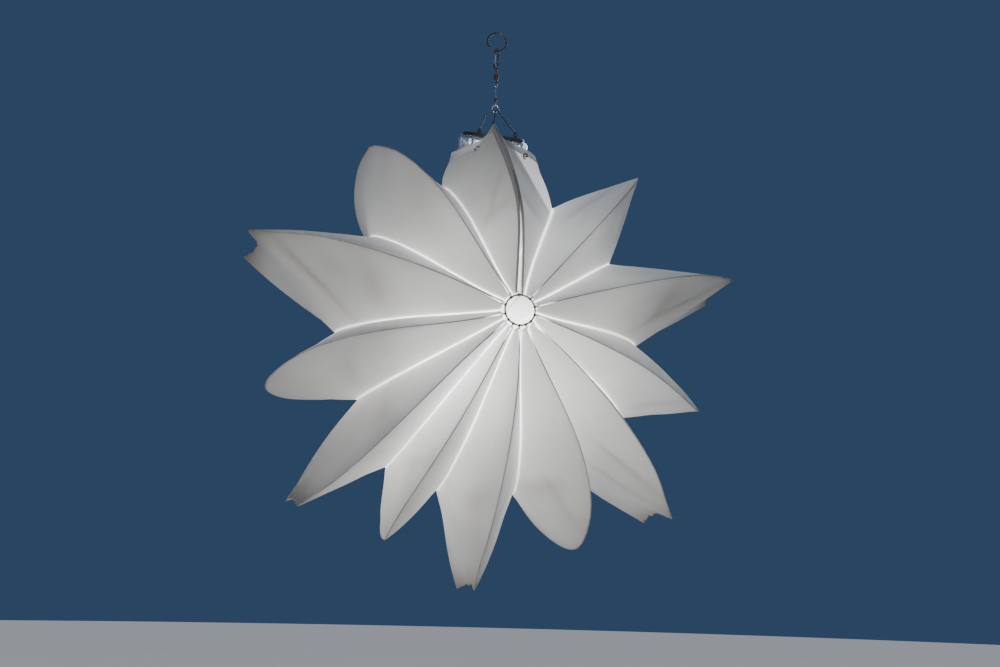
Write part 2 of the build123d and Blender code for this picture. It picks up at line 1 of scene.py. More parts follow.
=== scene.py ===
"""Looks of the hanging pleated star lantern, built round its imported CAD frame.

The star is a wheel of twelve folding fins about the Y axis. Each fin is two panels of spunbonded
sheet, joined at their outer edge and to the next fin's panel at the valley fold. Fin 1, at the top,
is the seam fin: its two end panels spread into a collar round the light cap. Lengths are metres.
"""
import json
from math import cos, pi, radians, sin

import bpy
import numpy as np
from mathutils import Euler, Matrix, Vector, noise

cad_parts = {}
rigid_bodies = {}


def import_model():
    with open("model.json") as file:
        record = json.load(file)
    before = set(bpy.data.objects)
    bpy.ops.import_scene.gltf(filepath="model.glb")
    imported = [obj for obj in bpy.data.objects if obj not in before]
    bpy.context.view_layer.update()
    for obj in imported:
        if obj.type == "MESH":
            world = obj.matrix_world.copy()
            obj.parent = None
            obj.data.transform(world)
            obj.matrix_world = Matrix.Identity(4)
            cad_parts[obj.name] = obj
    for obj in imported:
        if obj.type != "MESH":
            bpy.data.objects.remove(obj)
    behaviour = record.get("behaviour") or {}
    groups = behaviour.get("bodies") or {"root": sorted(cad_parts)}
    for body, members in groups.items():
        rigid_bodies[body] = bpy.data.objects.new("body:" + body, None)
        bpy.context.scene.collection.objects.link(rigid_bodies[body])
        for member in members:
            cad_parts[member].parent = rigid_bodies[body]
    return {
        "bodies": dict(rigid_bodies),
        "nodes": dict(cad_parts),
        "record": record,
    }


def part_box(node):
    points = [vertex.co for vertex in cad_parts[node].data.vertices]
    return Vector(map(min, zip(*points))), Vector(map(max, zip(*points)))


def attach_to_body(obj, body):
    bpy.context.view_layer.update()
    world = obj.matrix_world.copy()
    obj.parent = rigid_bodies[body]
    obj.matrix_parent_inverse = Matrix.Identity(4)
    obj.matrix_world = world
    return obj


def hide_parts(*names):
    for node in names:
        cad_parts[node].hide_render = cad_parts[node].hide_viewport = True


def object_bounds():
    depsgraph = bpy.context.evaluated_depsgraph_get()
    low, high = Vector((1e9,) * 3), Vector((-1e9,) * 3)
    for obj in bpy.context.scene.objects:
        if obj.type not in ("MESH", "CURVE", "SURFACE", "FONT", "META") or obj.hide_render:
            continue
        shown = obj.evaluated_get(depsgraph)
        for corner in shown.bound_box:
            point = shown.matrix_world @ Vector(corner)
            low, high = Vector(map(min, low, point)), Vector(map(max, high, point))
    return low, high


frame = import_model()
cad_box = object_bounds()

# --- the star, as its CAD frame has it ---
MM = 0.001
STAR_R = 0.230
# Fins and valleys go clockwise from the top; angles, leans and shifts are degrees, reaches are shares.
FIN_ANGLES = (-2.5, 40.5, 75, 106, 134.5, 157, 182.5, 205.5, 228.5, 254, 288, 324)
FIN_COUNT = len(FIN_ANGLES)
FRONT_LEAN = (0, 0, 0, 7.5, 1, -1.2, 2.5, 2.5, -4, 3.5, 0, -1)
REAR_LEAN = (0, 0, 4, 0, 2, 2, 3, 2, 0, -3, -3, -8)
FIN_REACH = (1, 0.965, 1, 0.985, 1, 1, 1, 1, 1.02, 1, 1.02, 0.975)
VALLEY_SHIFT = (5, -1, 1.5, 0, 0, 1, 3.6, -0.7, 0, -3.6, 0, -1)
VALLEY_REACH = (0.955, 0.945, 0.97, 1, 1, 1.03, 1.065, 1.10, 0.963, 1.005, 1, 1.015)
SEAM_GAP = 0.35 * MM       # half gap between a fin's sheets, wider at the hub
HUB_GAP = 0.65 * MM
HEM = 8.0 * MM             # width of the seam fin's folded hem
SLIT_HALF = 2.6 * MM       # half gap of the seam at the hub, and where it is closed
SEAM_HALF = 1.0 * MM
SLIT_END = 0.42
COLLAR_FROM = 0.37         # the collar starts at this fraction of the valley
COLLAR_R = 39.5 * MM
COLLAR_Y = 3.5 * MM
COLLAR_Z = 169.5 * MM
FRONT_RISE = 19.0 * MM     # its rim rises to a point in front, and less to one behind
REAR_RISE = 20.0 * MM
REAR_POINT_RISE = 6.0 * MM
POINT_SPREAD = 13.0
# Outlines from the front hub outwards, as (radius, distance from the middle plane) in star radii.
HUB_START = (0.066, 0.53)
ROUND_FIN = (HUB_START, (0.30, 0.56), (0.50, 0.575), (0.70, 0.465), (0.84, 0.245))
ROUND_TIP = (0.904, 0.0)
FISHTAIL_FIN = (HUB_START, (0.30, 0.595), (0.55, 0.565), (0.76, 0.45), (0.91, 0.27), (1.0, 0.157))
FISHTAIL_NOTCH = (0.945, 0.0)
SHOULDER_DROP = 0.012
SEAM_FIN = (HUB_START, (0.21, 0.575), (0.36, 0.585), (0.48, 0.52), (0.66, 0.35), (0.824, 0.157))
VALLEY = ((0.066, 0.50), (0.28, 0.345), (0.42, 0.265), (0.53, 0.165))
VALLEY_MID = (0.61, 0.0)
SIDE_END = 0.40            # a fishtail's long sides end at this fraction of its valley
hub_low, hub_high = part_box("front_hub_ring")
CENTRE = Vector((0, 0, (hub_low.z + hub_high.z) / 2))

# --- how the sheet lies ---
SKIN = 0.35 * MM           # drawn thickness of the sheet
# Mesh columns from a fin's outer edge (0) to its valley (1), closer at both ends.
ACROSS = np.concatenate([[0, 0.015, 0.04], np.linspace(0.08, 0.92, 13), [0.955, 0.975, 0.99, 1]])
BULGE = 0.022              # crown of a panel, as a share of its width
FOLD_DEPTH = 2.2 * MM      # soft folds that run from the valley to the edge
FOLDS = (11, 1.3)          # how many along a panel and across it
RIPPLE_DEPTH = 0.3 * MM
RIPPLES = (34, 4)
# Sharper folds as (fin, side, start, end, depth in mm, half width in mm). Start and end are (share of
# the outer edge from the front hub, share of the way to the valley).
CREASES = (
    (1, -1, (0.17, 0.15), (0.24, 0.85), 2.2, 9), (1, -1, (0.27, 0.2), (0.22, 0.9), 1.6, 6),
    (1, 1, (0.20, 0.2), (0.28, 0.9), 2.0, 8), (2, -1, (0.38, 0.1), (0.24, 0.9), 2.0, 9),
    (2, 1, (0.30, 0.1), (0.40, 0.85), 2.4, 8), (3, 1, (0.24, 0.15), (0.40, 0.8), 3.0, 12),
    (3, 1, (0.40, 0.0), (0.36, 0.9), 2.4, 7), (4, 1, (0.30, 0.1), (0.40, 0.8), 2.0, 8),
    (5, 1, (0.36, 0.05), (0.31, 0.8), 2.6, 8), (5, 1, (0.41, 0.1), (0.44, 0.9), 2.2, 6),
    (6, 1, (0.30, 0.35), (0.44, 0.95), 3.0, 9), (6, 1, (0.40, 0.1), (0.33, 0.7), 1.8, 7),
    (7, 1, (0.24, 0.1), (0.40, 0.7), 2.4, 9), (7, -1, (0.30, 0.1), (0.38, 0.9), 1.8, 7),
    (8, 1, (0.24, 0.1), (0.38, 0.8), 2.0, 8), (9, 1, (0.22, 0.1), (0.36, 0.85), 2.4, 9),
    (9, -1, (0.28, 0.1), (0.40, 0.8), 1.8, 7), (10, -1, (0.26, 0.2), (0.40, 0.8), 2.4, 10),
    (11, -1, (0.375, 0.0), (0.41, 0.95), 3.2, 8), (11, -1, (0.22, 0.2), (0.30, 0.9), 2.2, 12),
    (12, 1, (0.44, 0.1), (0.27, 0.9), 2.6, 9), (12, 1, (0.33, 0.0), (0.20, 0.8), 1.8, 8),
)
# Lamp light that shows in the sheet, as (strength, reach), with reaches in metres or in star radii.
VALLEY_LINE = (8.0, 0.7 * MM)
VALLEY_GLOW = (0.55, 20 * MM)
HUB_GLOW = (0.1, 0.26)
VALLEY_MOST = 0.53         # the broad glow is strongest this far from the middle plane
CORE_REACH = 0.42          # the inside of the sheet is brightest up to here, in star radii
# Extra light that some panels carry, by (fin, side): the lamps shine down into the star.
PANEL_LIGHT = {(4, 1): 0.50, (5, 1): 0.45, (6, 1): 0.15, (7, -1): 0.30, (7, 1): 0.45, (8, -1): 0.4,
               (8, 1): 0.75, (9, -1): 0.75, (9, 1): 0.1, (10, -1): 0.1, (11, -1): 0.05}
# Strengths of painted shade: towards the tips, beside the outer edge, in soft clouds and in the creases.
SHADE_TIP, SHADE_EDGE, SHADE_CLOUD, SHADE_CREASE = 0.65, 0.25, 0.3, 0.45
EDGE_REACH = 9 * MM        # how far the painted shade beside the outer edge reaches
# Painted shade over whole fins: the seam fin and fins 3 and 11 are darker.
FIN_SHADE = {1: 0.30, 3: 0.30, 11: 0.12}
# A fold of the seam fin's right panel ends here, right of and over the centre, and the panel
# carries painted light on one side of it.
LIT_SHOULDER = (20.0 * MM, 150.0 * MM)
LIT_ACROSS = (0.857, 0.515)
PUCKER_DEPTH = 0.22 * MM   # puckers beside the bonded edge
PUCKER_PITCH = 6.5 * MM
PUCKER_REACH = 7 * MM
HUB_BROWN_REACH = 75 * MM        # the bonded edges turn darker and browner up to this far out from the hub
LIP_WIDTH = 0.9 * MM       # bonded edge that stands past the two sheets
LIP_HALF = 0.38 * MM
LIP_START = 0.012          # it starts clear of the hub ring, at this fraction of its valley
HEM_SHARE = 0.12           # the hem's share of an end panel's width
HEM_STEPS = 4
# How far worn cloth still fills each fishtail's notch, and how uneven the cut edge is.
TAIL_FILL = {3: 0.25, 5: 0.5, 7: 0.6, 9: 0.8, 11: 0.25}
FRAY_DEPTH = 2.6 * MM
FRAY_TRIM = 0.6 * MM
FRAY_TEETH = 160           # over a whole valley's length
FRAY_REACH = 0.15          # the unevenness dies out this far towards the valley
FIBRES, CORNER_FIBRES = 110, 64   # loose fibres of a cut edge, and those at its corners
KNOTS = {6: 0.535, 8: 0.47}   # fins with a thread knot, and where along their edge it sits


# --- curves and planes of the star ---
def unit(vectors):
    return vectors / np.maximum(np.linalg.norm(vectors, axis=-1, keepdims=True), 1e-12)


def lengths_along(points):
    """Length along a line of points, up to each of them."""
    return np.concatenate([[0.0], np.cumsum(np.linalg.norm(np.diff(points, axis=0), axis=1))])


def smooth_curve(corners):
    """Reads a smooth curve through plane points, in star radii, at fractions of its length."""
    points = np.array(corners, float) * STAR_R
    run = lengths_along(points)
    steps, count = np.diff(run), len(points)
    slope = np.diff(points, axis=0) / steps[:, None]
    start = [np.polyval(np.polyder(np.polyfit(run[:4], points[:4, k], 3)), run[0]) for k in (0, 1)]
    end = [np.polyval(np.polyder(np.polyfit(run[-4:], points[-4:, k], 3)), run[-1]) for k in (0, 1)]
    matrix, right = np.zeros((count, count)), np.zeros((count, 2))
    matrix[0, :2] = 2 * steps[0], steps[0]
    matrix[-1, -2:] = steps[-1], 2 * steps[-1]
    right[0] = 6 * (slope[0] - start)
    right[-1] = 6 * (np.array(end) - slope[-1])
    for i in range(1, count - 1):
        matrix[i, i - 1:i + 2] = steps[i - 1], 2 * (steps[i - 1] + steps[i]), steps[i]
        right[i] = 6 * (slope[i] - slope[i - 1])
    bend = np.linalg.solve(matrix, right)
    dense = np.linspace(0, run[-1], 600)
    i = np.clip(np.searchsorted(run, dense) - 1, 0, count - 2)
    past, left, step = (dense - run[i])[:, None], (run[i + 1] - dense)[:, None], steps[i][:, None]
    curve = (bend[i] * left ** 3 + bend[i + 1] * past ** 3) / (6 * step)
    curve += (points[i] / step - bend[i] * step / 6) * left
    curve += (points[i + 1] / step - bend[i + 1] * step / 6) * past
    along = lengths_along(curve) / lengths_along(curve)[-1]
    return lambda at: np.stack([np.interp(at, along, curve[:, k]) for k in (0, 1)], axis=-1)


def mirrored(half, middle):
    return [(r, -y) for r, y in half] + [middle] + [(r, y) for r, y in reversed(half)]


round_edge = smooth_curve(mirrored(ROUND_FIN, ROUND_TIP))
fishtail_side = smooth_curve(FISHTAIL_FIN)
seam_edge = smooth_curve(SEAM_FIN)
valley_edge = smooth_curve(mirrored(VALLEY, VALLEY_MID))


def place(angle, sideways, samples):
    """Points at (radius, y) samples of the plane at angle, pushed sideways clockwise."""
    a = np.radians(angle)
    r, y = samples[..., 0], samples[..., 1]
    x = r * np.sin(a) + sideways * np.cos(a)
    z = r * np.cos(a) - sideways * np.sin(a)
    return np.stack([x, y, z + CENTRE.z], axis=-1)


def edge_angles(number, fractions):
    """Angle of a fin's outer edge, which hangs a little out of its plane front and rear."""
    most = np.where(fractions < 0.5, FRONT_LEAN[number - 1], REAR_LEAN[number - 1])
    return FIN_ANGLES[number - 1] + most * np.abs(np.sin(2 * pi * fractions))


def reached(number, outline):
    """A fin's outline at its own reach."""
    grown = outline.copy()
    grown[:, 0] *= 1 + (FIN_REACH[number - 1] - 1) * np.clip(outline[:, 0] / STAR_R, 0, 1)
    return grown


def outward_of(number, side):
    """Rough outward direction of one side of a fin."""
    a = radians(FIN_ANGLES[number - 1])
    return np.array([side * cos(a), 0, -side * sin(a)])


def valley_line(number, side, fractions):
    """Points of the valley fold on one side of a fin, at fractions of its length."""
    fold = number - 1 if side > 0 else number - 2
    samples = valley_edge(fractions)
    share = np.clip(samples[:, 0] / (VALLEY_MID[0] * STAR_R), 0, 1)
    samples[:, 0] *= 1 + (VALLEY_REACH[fold] - 1) * share
    return place(valley_angle(number, side) + VALLEY_SHIFT[fold] * share, -side * SEAM_GAP, samples)


def valley_angle(number, side):
    """Angle of the valley between a fin and its neighbour on one side."""
    angle = FIN_ANGLES[number - 1]
    other = FIN_ANGLES[(number - 1 + side) % FIN_COUNT]
    if side > 0 and other < angle:
        other += 360
    if side < 0 and other > angle:
        other -= 360
    return (angle + other) / 2


def fishtail_outline(fractions, number):
    """Outer edge of a fishtail fin at fractions of its valley: two long sides and the worn notch."""
    near = np.minimum(fractions, 1 - fractions)
    samples = fishtail_side(np.clip(near / SIDE_END, 0, 1))
    samples[:, 1] *= -1
    tip = samples[np.argmax(near >= SIDE_END)].copy()
    notch = np.array(FISHTAIL_NOTCH) * STAR_R
    shoulder = np.array([(tip[0] + notch[0]) / 2 - SHOULDER_DROP * STAR_R, tip[1] / 2])
    for corner in (notch, shoulder):
        corner[0] += (tip[0] - corner[0]) * TAIL_FILL[number]
    for i in np.nonzero(near > SIDE_END)[0]:
        share = (near[i] - SIDE_END) / (0.5 - SIDE_END) * 2
        corner = (tip, shoulder, notch)
        k = min(int(share), 1)
        samples[i] = corner[k] + (corner[k + 1] - corner[k]) * (share - k)
    samples[fractions > 0.5, 1] *= -1
    return samples


def fray(samples, fractions, seed):
    """The cut edge of a fishtail's notch is uneven by a millimetre or two."""
    inside = np.nonzero((fractions > SIDE_END) & (fractions < 1 - SIDE_END))[0]
    for i in inside:
        tooth = noise.noise((fractions[i] * FRAY_TEETH, seed * 3.1, 0.4)) * FRAY_DEPTH
        samples[i, 0] += tooth - FRAY_TRIM
    return samples


def is_fishtail(number):
    return number % 2 == 1


def rows_of(fishtail):
    if not fishtail:
        return np.linspace(0, 1, 97)
    side = np.linspace(0, SIDE_END, 40)
    notch = np.linspace(SIDE_END, 1 - SIDE_END, 41)[1:-1]
    return np.concatenate([side, notch, 1 - side[::-1]])


# --- panels ---
def normals_of(grid, outward):
    """Unit normals of a grid of points, turned to agree with a rough outward direction."""
    normal = unit(np.cross(np.gradient(grid, axis=0), np.gradient(grid, axis=1)))
    flip = np.sign((normal * outward).sum(axis=2, keepdims=True).mean())
    return normal * flip, flip


def crease_depth(number, side, at, share, length, width):
    """How far the panel's creases sink it at one point."""
    sunk = 0.0
    for fin, of_side, start, end, depth, half_width in CREASES:
        if (fin, of_side) != (number, side):
            continue
        a = np.array([start[0] * length, start[1] * width])
        b = np.array([end[0] * length, end[1] * width])
        here = np.array([at * length, share * width])
        along = np.clip(np.dot(here - a, b - a) / np.dot(b - a, b - a), 0, 1)
        off = np.linalg.norm(here - a - along * (b - a)) / (half_width * MM)
        sunk += depth * MM * np.exp(-off ** 1.5) * (0.35 + 0.65 * np.sin(pi * along))
    return sunk


def settle(grid, shares, number, side):
    """A flat ruled panel takes its crown, soft folds, creases, ripples and edge puckers."""
    seed = number + 0.37 * side
    normal, flip = normals_of(grid, outward_of(number, side))
    width = np.linalg.norm(grid[:, -1] - grid[:, 0], axis=1)
    run = lengths_along(grid[:, 0])
    length = run[-1]
    push = np.zeros(grid.shape[:2])
    creased = np.zeros(grid.shape[:2])
    for i in range(grid.shape[0]):
        at = run[i] / length
        calm = min(1.0, 6 * at, 6 * (1 - at))
        for j, share in enumerate(shares):
            window = sin(pi * share) ** 0.8 if 0 < share < 1 else 0.0
            crown = BULGE * width[i] * 4 * share * (1 - share)
            folds = noise.noise((at * FOLDS[0] + seed, share * FOLDS[1], seed * 0.7)) * FOLD_DEPTH
            ripple = noise.noise((at * RIPPLES[0], share * RIPPLES[1] + seed, 3.3)) * RIPPLE_DEPTH
            edge = share * width[i]
            pucker = sin(2 * pi * run[i] / PUCKER_PITCH + 2 * noise.noise((run[i] * 60, seed, 0)))
            pucker *= PUCKER_DEPTH * np.exp(-edge / PUCKER_REACH) * min(1.0, edge / (2 * MM))
            creased[i, j] = crease_depth(number, side, at, share, length, width[i])
            push[i, j] = calm * (crown + window * (folds + ripple - creased[i, j]) + pucker)
    return grid + normal * push[..., None], flip, creased / (3 * MM)


def mesh_of(name, points, faces):
    mesh = bpy.data.meshes.new(name)
    mesh.from_pydata([tuple(p) for p in points], [], faces)
    mesh.validate()
    mesh.polygons.foreach_set("use_smooth", [True] * len(mesh.polygons))
    mesh.update()
    obj = bpy.data.objects.new(name, mesh)
    bpy.context.scene.collection.objects.link(obj)
    return obj


def grid_mesh(name, grid, flip):
    """A mesh of a rows by columns grid."""
    rows, wide = grid.shape[:2]
    faces = []
    for i in range(rows - 1):
        for j in range(wide - 1):
            at, below = i * wide + j, (i + 1) * wide + j
            quad = (at, below, below + 1, at + 1)
            faces.append(quad if flip > 0 else quad[::-1])
    return mesh_of(name, grid.reshape(-1, 3), faces)


def tube(path, side, up, radii, corners):
    """Rings of points round a path, as a grid that closes on itself."""
    turns = [2 * pi * k / corners for k in range(corners)]
    size = np.reshape(radii, (-1, 1))
    return np.stack([path + (side * cos(turn) + up * sin(turn)) * size for turn in turns], axis=1)


def joined_grids(name, grids):
    """One mesh of several closed strips, capped at their ends."""
    points, faces = [], []
    for grid in grids:
        rows, wide = grid.shape[:2]
        base = len(points)
        points += [tuple(p) for p in grid.reshape(-1, 3)]
        for i in range(rows - 1):
            for j in range(wide):
                k = (j + 1) % wide
                faces.append((base + i * wide + j, base + i * wide + k,
                              base + (i + 1) * wide + k, base + (i + 1) * wide + j))
        faces.append(tuple(base + j for j in reversed(range(wide))))
        faces.append(tuple(base + (rows - 1) * wide + j for j in range(wide)))
    return mesh_of(name, points, faces)


def paint(obj, name, values):
    """Stores a value on every point of a piece, for its material to read."""
    layer = obj.data.attributes.new(name, "FLOAT", "POINT")
    layer.data.foreach_set("value", np.asarray(values, np.float32).ravel())


def attach(obj, material):
    """A piece of the lantern takes its material."""
    obj.data.materials.append(material)
    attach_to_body(obj, "lantern")
    return obj


def solidify(obj, thickness, inner_material=False):
    shell = obj.modifiers.new("thickness", "SOLIDIFY")
    shell.thickness = thickness
    shell.offset = 0
    shell.use_even_offset = False
    if inner_material:
        shell.material_offset = 1


def cut_size(grid):
    """Width, length and area that a panel is cut to: its outline laid flat."""
    length = np.ptp(grid[..., 1])
    width = np.ptp(np.hypot(grid[..., 0], grid[..., 2] - CENTRE.z))
    a, b, c, d = grid[:-1, 0], grid[:-1, -1], grid[1:, -1], grid[1:, 0]
    halves = [np.linalg.norm(np.cross(start - a, end - a), axis=1) for start, end in ((b, c), (c, d))]
    return (float(width), float(length)), float(sum(halves).sum() / 2)


def shade_panel(obj, grid, shares, number, side, creased):
    """Painted light and shade in a panel: the sheet is brightest at the hub and its valley and darkened by
    painted shade at its tip.
    """
    radius = np.hypot(grid[..., 0], grid[..., 2] - CENTRE.z) / STAR_R
    width = np.linalg.norm(grid[:, -1] - grid[:, 0], axis=1)[:, None]
    to_valley = (1 - shares)[None, :] * width
    to_edge = shares[None, :] * width
    off_middle = np.clip(np.abs(grid[..., 1]) / (VALLEY_MOST * STAR_R), 0, 1)
    line = np.exp(-to_valley / VALLEY_LINE[1]) * (0.2 + 0.8 * np.clip(1.3 - radius * 1.7, 0, 1))
    broad = np.exp(-to_valley / VALLEY_GLOW[1]) * (0.45 + 0.55 * off_middle)
    broad *= np.clip(radius / 0.4, 0.2, 1)
    inner = np.exp(-(radius / HUB_GLOW[1]) ** 2)
    glow = VALLEY_LINE[0] * line + VALLEY_GLOW[0] * broad + HUB_GLOW[0] * inner
    glow += PANEL_LIGHT.get((number, side), 0) * np.clip(1.3 - radius, 0, 1)
    tip = np.clip((radius - 0.55) / 0.45, 0, 1) ** 1.3
    edge = np.exp(-to_edge / EDGE_REACH)
    places = [Vector(point) for point in grid.reshape(-1, 3)]
    clouds = np.reshape([noise.noise(at * 14) + 0.5 * noise.noise(at * 33) for at in places], radius.shape)
    # Painted shade: darker towards the tip, beside the outer edge, in soft clouds, in the creases and over
    # some whole fins.
    painted_shade = SHADE_TIP * tip + SHADE_EDGE * edge + SHADE_CLOUD * np.clip(clouds, -0.4, 1)
    painted_shade += SHADE_CREASE * creased + FIN_SHADE.get(number, 0)
    glow *= 1 - 0.3 * np.clip(creased, 0, 1)
    # Painted light on one side of that fold of the seam fin's right panel, where the fin's painted shade is
    # taken away.
    if (number, side) == (1, 1):
        x, z = grid[..., 0] - LIT_SHOULDER[0], grid[..., 2] - CENTRE.z - LIT_SHOULDER[1]
        lit = np.clip((x * LIT_ACROSS[0] + z * LIT_ACROSS[1]) / (1.5 * MM), 0, 1)
        glow += 0.8 * lit
        painted_shade -= FIN_SHADE[1] * lit
    paint(obj, "glow", glow)
    paint(obj, "core", np.exp(-(radius / CORE_REACH) ** 4))
    paint(obj, "painted_shade", painted_shade)
    # The colour turns darker and browner at the very tips.
    paint(obj, "soil", np.clip((radius - 0.90) / 0.10, 0, 1) ** 1.5)


def finish_panel(flat, shares, number, side, materials, kept_flat=0):
    """Settles a flat panel, whose first columns may stay flat, and makes its piece."""
    grid, flip, creased = settle(flat, shares, number, side)
    grid[:, :kept_flat] = flat[:, :kept_flat]
    letter = "a" if side < 0 else "b"
    obj = grid_mesh(f"fin_{number:02d}_sheet_{letter}", grid, flip)
    shade_panel(obj, grid, shares, number, side, creased)
    for material in materials:
        obj.data.materials.append(material)
    solidify(obj, SKIN, inner_material=True)
    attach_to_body(obj, "lantern")
    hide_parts(obj.name.replace("sheet", "panel"))
    return obj, *cut_size(flat)


def fin_panel(number, side, materials):
    """One panel of an ordinary fin; side is -1 anticlockwise of the fin plane, +1 clockwise."""
    fishtail = is_fishtail(number)
    fractions = rows_of(fishtail)
    outline = fishtail_outline(fractions, number) if fishtail else round_edge(fractions)
    cut = fray(outline.copy(), fractions, number) if fishtail else outline
    hub = np.clip(1 - np.minimum(fractions, 1 - fractions) / 0.07, 0, 1)
    gap = side * (SEAM_GAP + (HUB_GAP - SEAM_GAP) * hub)
    angles = edge_angles(number, fractions)
    ridge, cut_edge = [place(angles, gap, reached(number, line)) for line in (outline, cut)]
    valley = valley_line(number, side, fractions)
    share = ACROSS[None, :, None]
    flat = ridge[:, None] * (1 - share) + valley[:, None] * share
    flat += (cut_edge - ridge)[:, None] * np.clip(1 - share / FRAY_REACH, 0, 1) ** 3
    return finish_panel(flat, ACROSS, number, side, materials)


# --- the seam fin and its collar ---
def slit_half(r):
    """Half gap of the seam at a radius: open at the hub, closed further out."""
    open_part = np.clip(1 - r / (SLIT_END * STAR_R), 0, 1)
    return SEAM_HALF + (SLIT_HALF - SEAM_HALF) * open_part ** 0.6


def collar_height(turn, tip_angle, back_angle):
    """The collar rises to a point in front, and a lower one behind."""
    front = FRONT_RISE * np.exp(-np.abs(turn - tip_angle) / POINT_SPREAD)
    rear = REAR_POINT_RISE * np.exp(-np.abs(back_angle - turn) / POINT_SPREAD)
    return COLLAR_Z + front + rear + REAR_RISE * np.clip(-np.cos(np.radians(turn)), 0, None)


def toward(start, end, distance):
    """Points a distance from start on the way to end, or short of half way."""
    reach = end - start
    length = np.linalg.norm(reach, axis=-1, keepdims=True)
    return start + reach / length * np.minimum(distance, 0.45 * length)


def seam_side(side, rear):
    """Outer edge, hem line and valley of an end panel, from a hub to the collar's point."""
    share = np.linspace(0, 1, 44)
    edge = seam_edge(share)
    edge[:, 1] *= -1
    fold = valley_edge(COLLAR_FROM * share)
    hem = toward(edge, fold, HEM)
    gap = side * slit_half(edge[:, 0])
    if rear:
        for line in (edge, hem):
            line[:, 1] *= -1
    outer, inner = place(FIN_ANGLES[0], gap, edge), place(FIN_ANGLES[0], gap, hem)
    valley = valley_line(1, side, 1 - COLLAR_FROM * share if rear else COLLAR_FROM * share)
    return outer, inner, valley


def collar_side(side):
    """The same three lines round the cap, from the front point to the rear point."""
    share = np.linspace(0, 1, 66)[1:-1]
    tip_angle = np.degrees(SEAM_FIN[-1][0] * STAR_R * sin(radians(FIN_ANGLES[0])) / COLLAR_R)
    back_angle = side * 180 - tip_angle
    turn = tip_angle + (back_angle - tip_angle) * share
    parted = np.clip(1 - 12 * share, 0, 1) + np.clip(12 * share - 11, 0, 1)
    x = COLLAR_R * np.sin(np.radians(turn)) + side * SEAM_HALF * parted
    y = COLLAR_Y - COLLAR_R * np.cos(np.radians(turn))
    outer = np.stack([x, y, collar_height(turn, tip_angle, back_angle) + CENTRE.z], axis=-1)
    valley = valley_line(1, side, COLLAR_FROM + (1 - 2 * COLLAR_FROM) * share)
    return outer, toward(outer, valley, HEM), valley


def end_lines(side):
    """Outer edge, hem line and valley of an end panel, from the front hub to the rear one."""
    front, middle, rear = seam_side(side, False), collar_side(side), seam_side(side, True)
    return [np.concatenate([f, m, r[::-1]]) for f, m, r in zip(front, middle, rear)]


def end_panel(side, materials):
    """An end panel of the seam fin, out to the fold of its hem."""
    outer, inner, valley = end_lines(side)
    band = [outer + (inner - outer) * k / HEM_STEPS for k in range(HEM_STEPS)]
    body = [inner + (valley - inner) * share for share in ACROSS]
    flat = np.stack(band + body, axis=1)
    in_hem = np.arange(HEM_STEPS) / HEM_STEPS * HEM_SHARE
    shares = np.concatenate([in_hem, HEM_SHARE + (1 - HEM_SHARE) * ACROSS])
    return finish_panel(flat, shares, 1, side, materials, kept_flat=HEM_STEPS + 1)


def hem_band(side, material):
    """The folded hem round the free edge of an end panel: a strip turned over the edge."""
    outer, inner, _ = end_lines(side)
    across = unit(outer - inner)
    normal = unit(np.cross(unit(np.gradient(outer, axis=0)), across))
    normal *= np.sign((normal * outward_of(1, side)).sum(axis=1).mean())
    half, shares = 0.30 * MM, (0.0, 0.3, 0.65, 1.0)
    lines = [inner + (outer - inner) * share + normal * half for share in shares]
    for turn in (45, 90, 135):
        lines.append(outer + across * half * sin(radians(turn)) + normal * half * cos(radians(turn)))
    lines += [inner + (outer - inner) * share - normal * half for share in shares[::-1]]
    points = np.stack(lines, axis=1)
    obj = grid_mesh("seam_hem_left" if side < 0 else "seam_hem_right", points, side)
    paint(obj, "wear", [0.5 + 0.5 * noise.noise(Vector(p) * 90) for p in points.reshape(-1, 3)])
    # Where the hem carries painted shade: along the closed seam, not round the collar.
    on_seam = np.clip((np.abs(points[..., 1] - COLLAR_Y) - 0.9 * COLLAR_R) / (0.12 * COLLAR_R), 0, 1)
    paint(obj, "seam_shade", on_seam)
    solidify(obj, 0.12 * MM)
    return attach(obj, material), (inner, normal)


def stitch_row(name, line, normal, pitch, material):
    """A row of short thread stitches along a line, each a small bent capsule on the surface."""
    run = lengths_along(line)
    rise = (0.36 + 0.16 * np.sin(np.linspace(0, pi, 5))) * MM
    radii = 0.17 * MM * np.array([0.35, 0.9, 1.0, 0.9, 0.35])
    stitches = []
    for k in range(int(run[-1] / pitch)):
        at = np.linspace(k * pitch + 0.15 * pitch, k * pitch + 0.85 * pitch, 5)
        middle, up = [np.stack([np.interp(at, run, of[:, axis]) for axis in range(3)], axis=-1)
                      for of in (line, normal)]
        middle += up * rise[:, None]
        forward = unit(np.gradient(middle, axis=0))
        stitches.append(tube(middle, np.cross(forward, up), up, radii, 6))
    return attach(joined_grids(name, stitches), material)


# --- bonded edges, frayed tips and knots ---
def lip_strip(number, fractions, outline):
    """Rounded strip in the fin's surface just past its outline: (rows, 8, 3) points."""
    angle = edge_angles(number, fractions)
    along = unit(np.gradient(outline, axis=0))
    outward = np.stack([along[:, 1], -along[:, 0]], axis=-1)
    outward *= np.sign(outward[:, 0].mean()) or 1.0
    ends = np.minimum(np.arange(len(outline)), np.arange(len(outline))[::-1])
    size = np.clip(0.25 + ends / 4, 0, 1)
    columns = []
    for turn in np.linspace(0, 2 * pi, 9)[:-1]:
        out = (0.45 + 0.55 * cos(turn)) * LIP_WIDTH * size
        columns.append(place(angle, LIP_HALF * sin(turn) * size, outline + outward * out[:, None]))
    return np.stack(columns, axis=1)


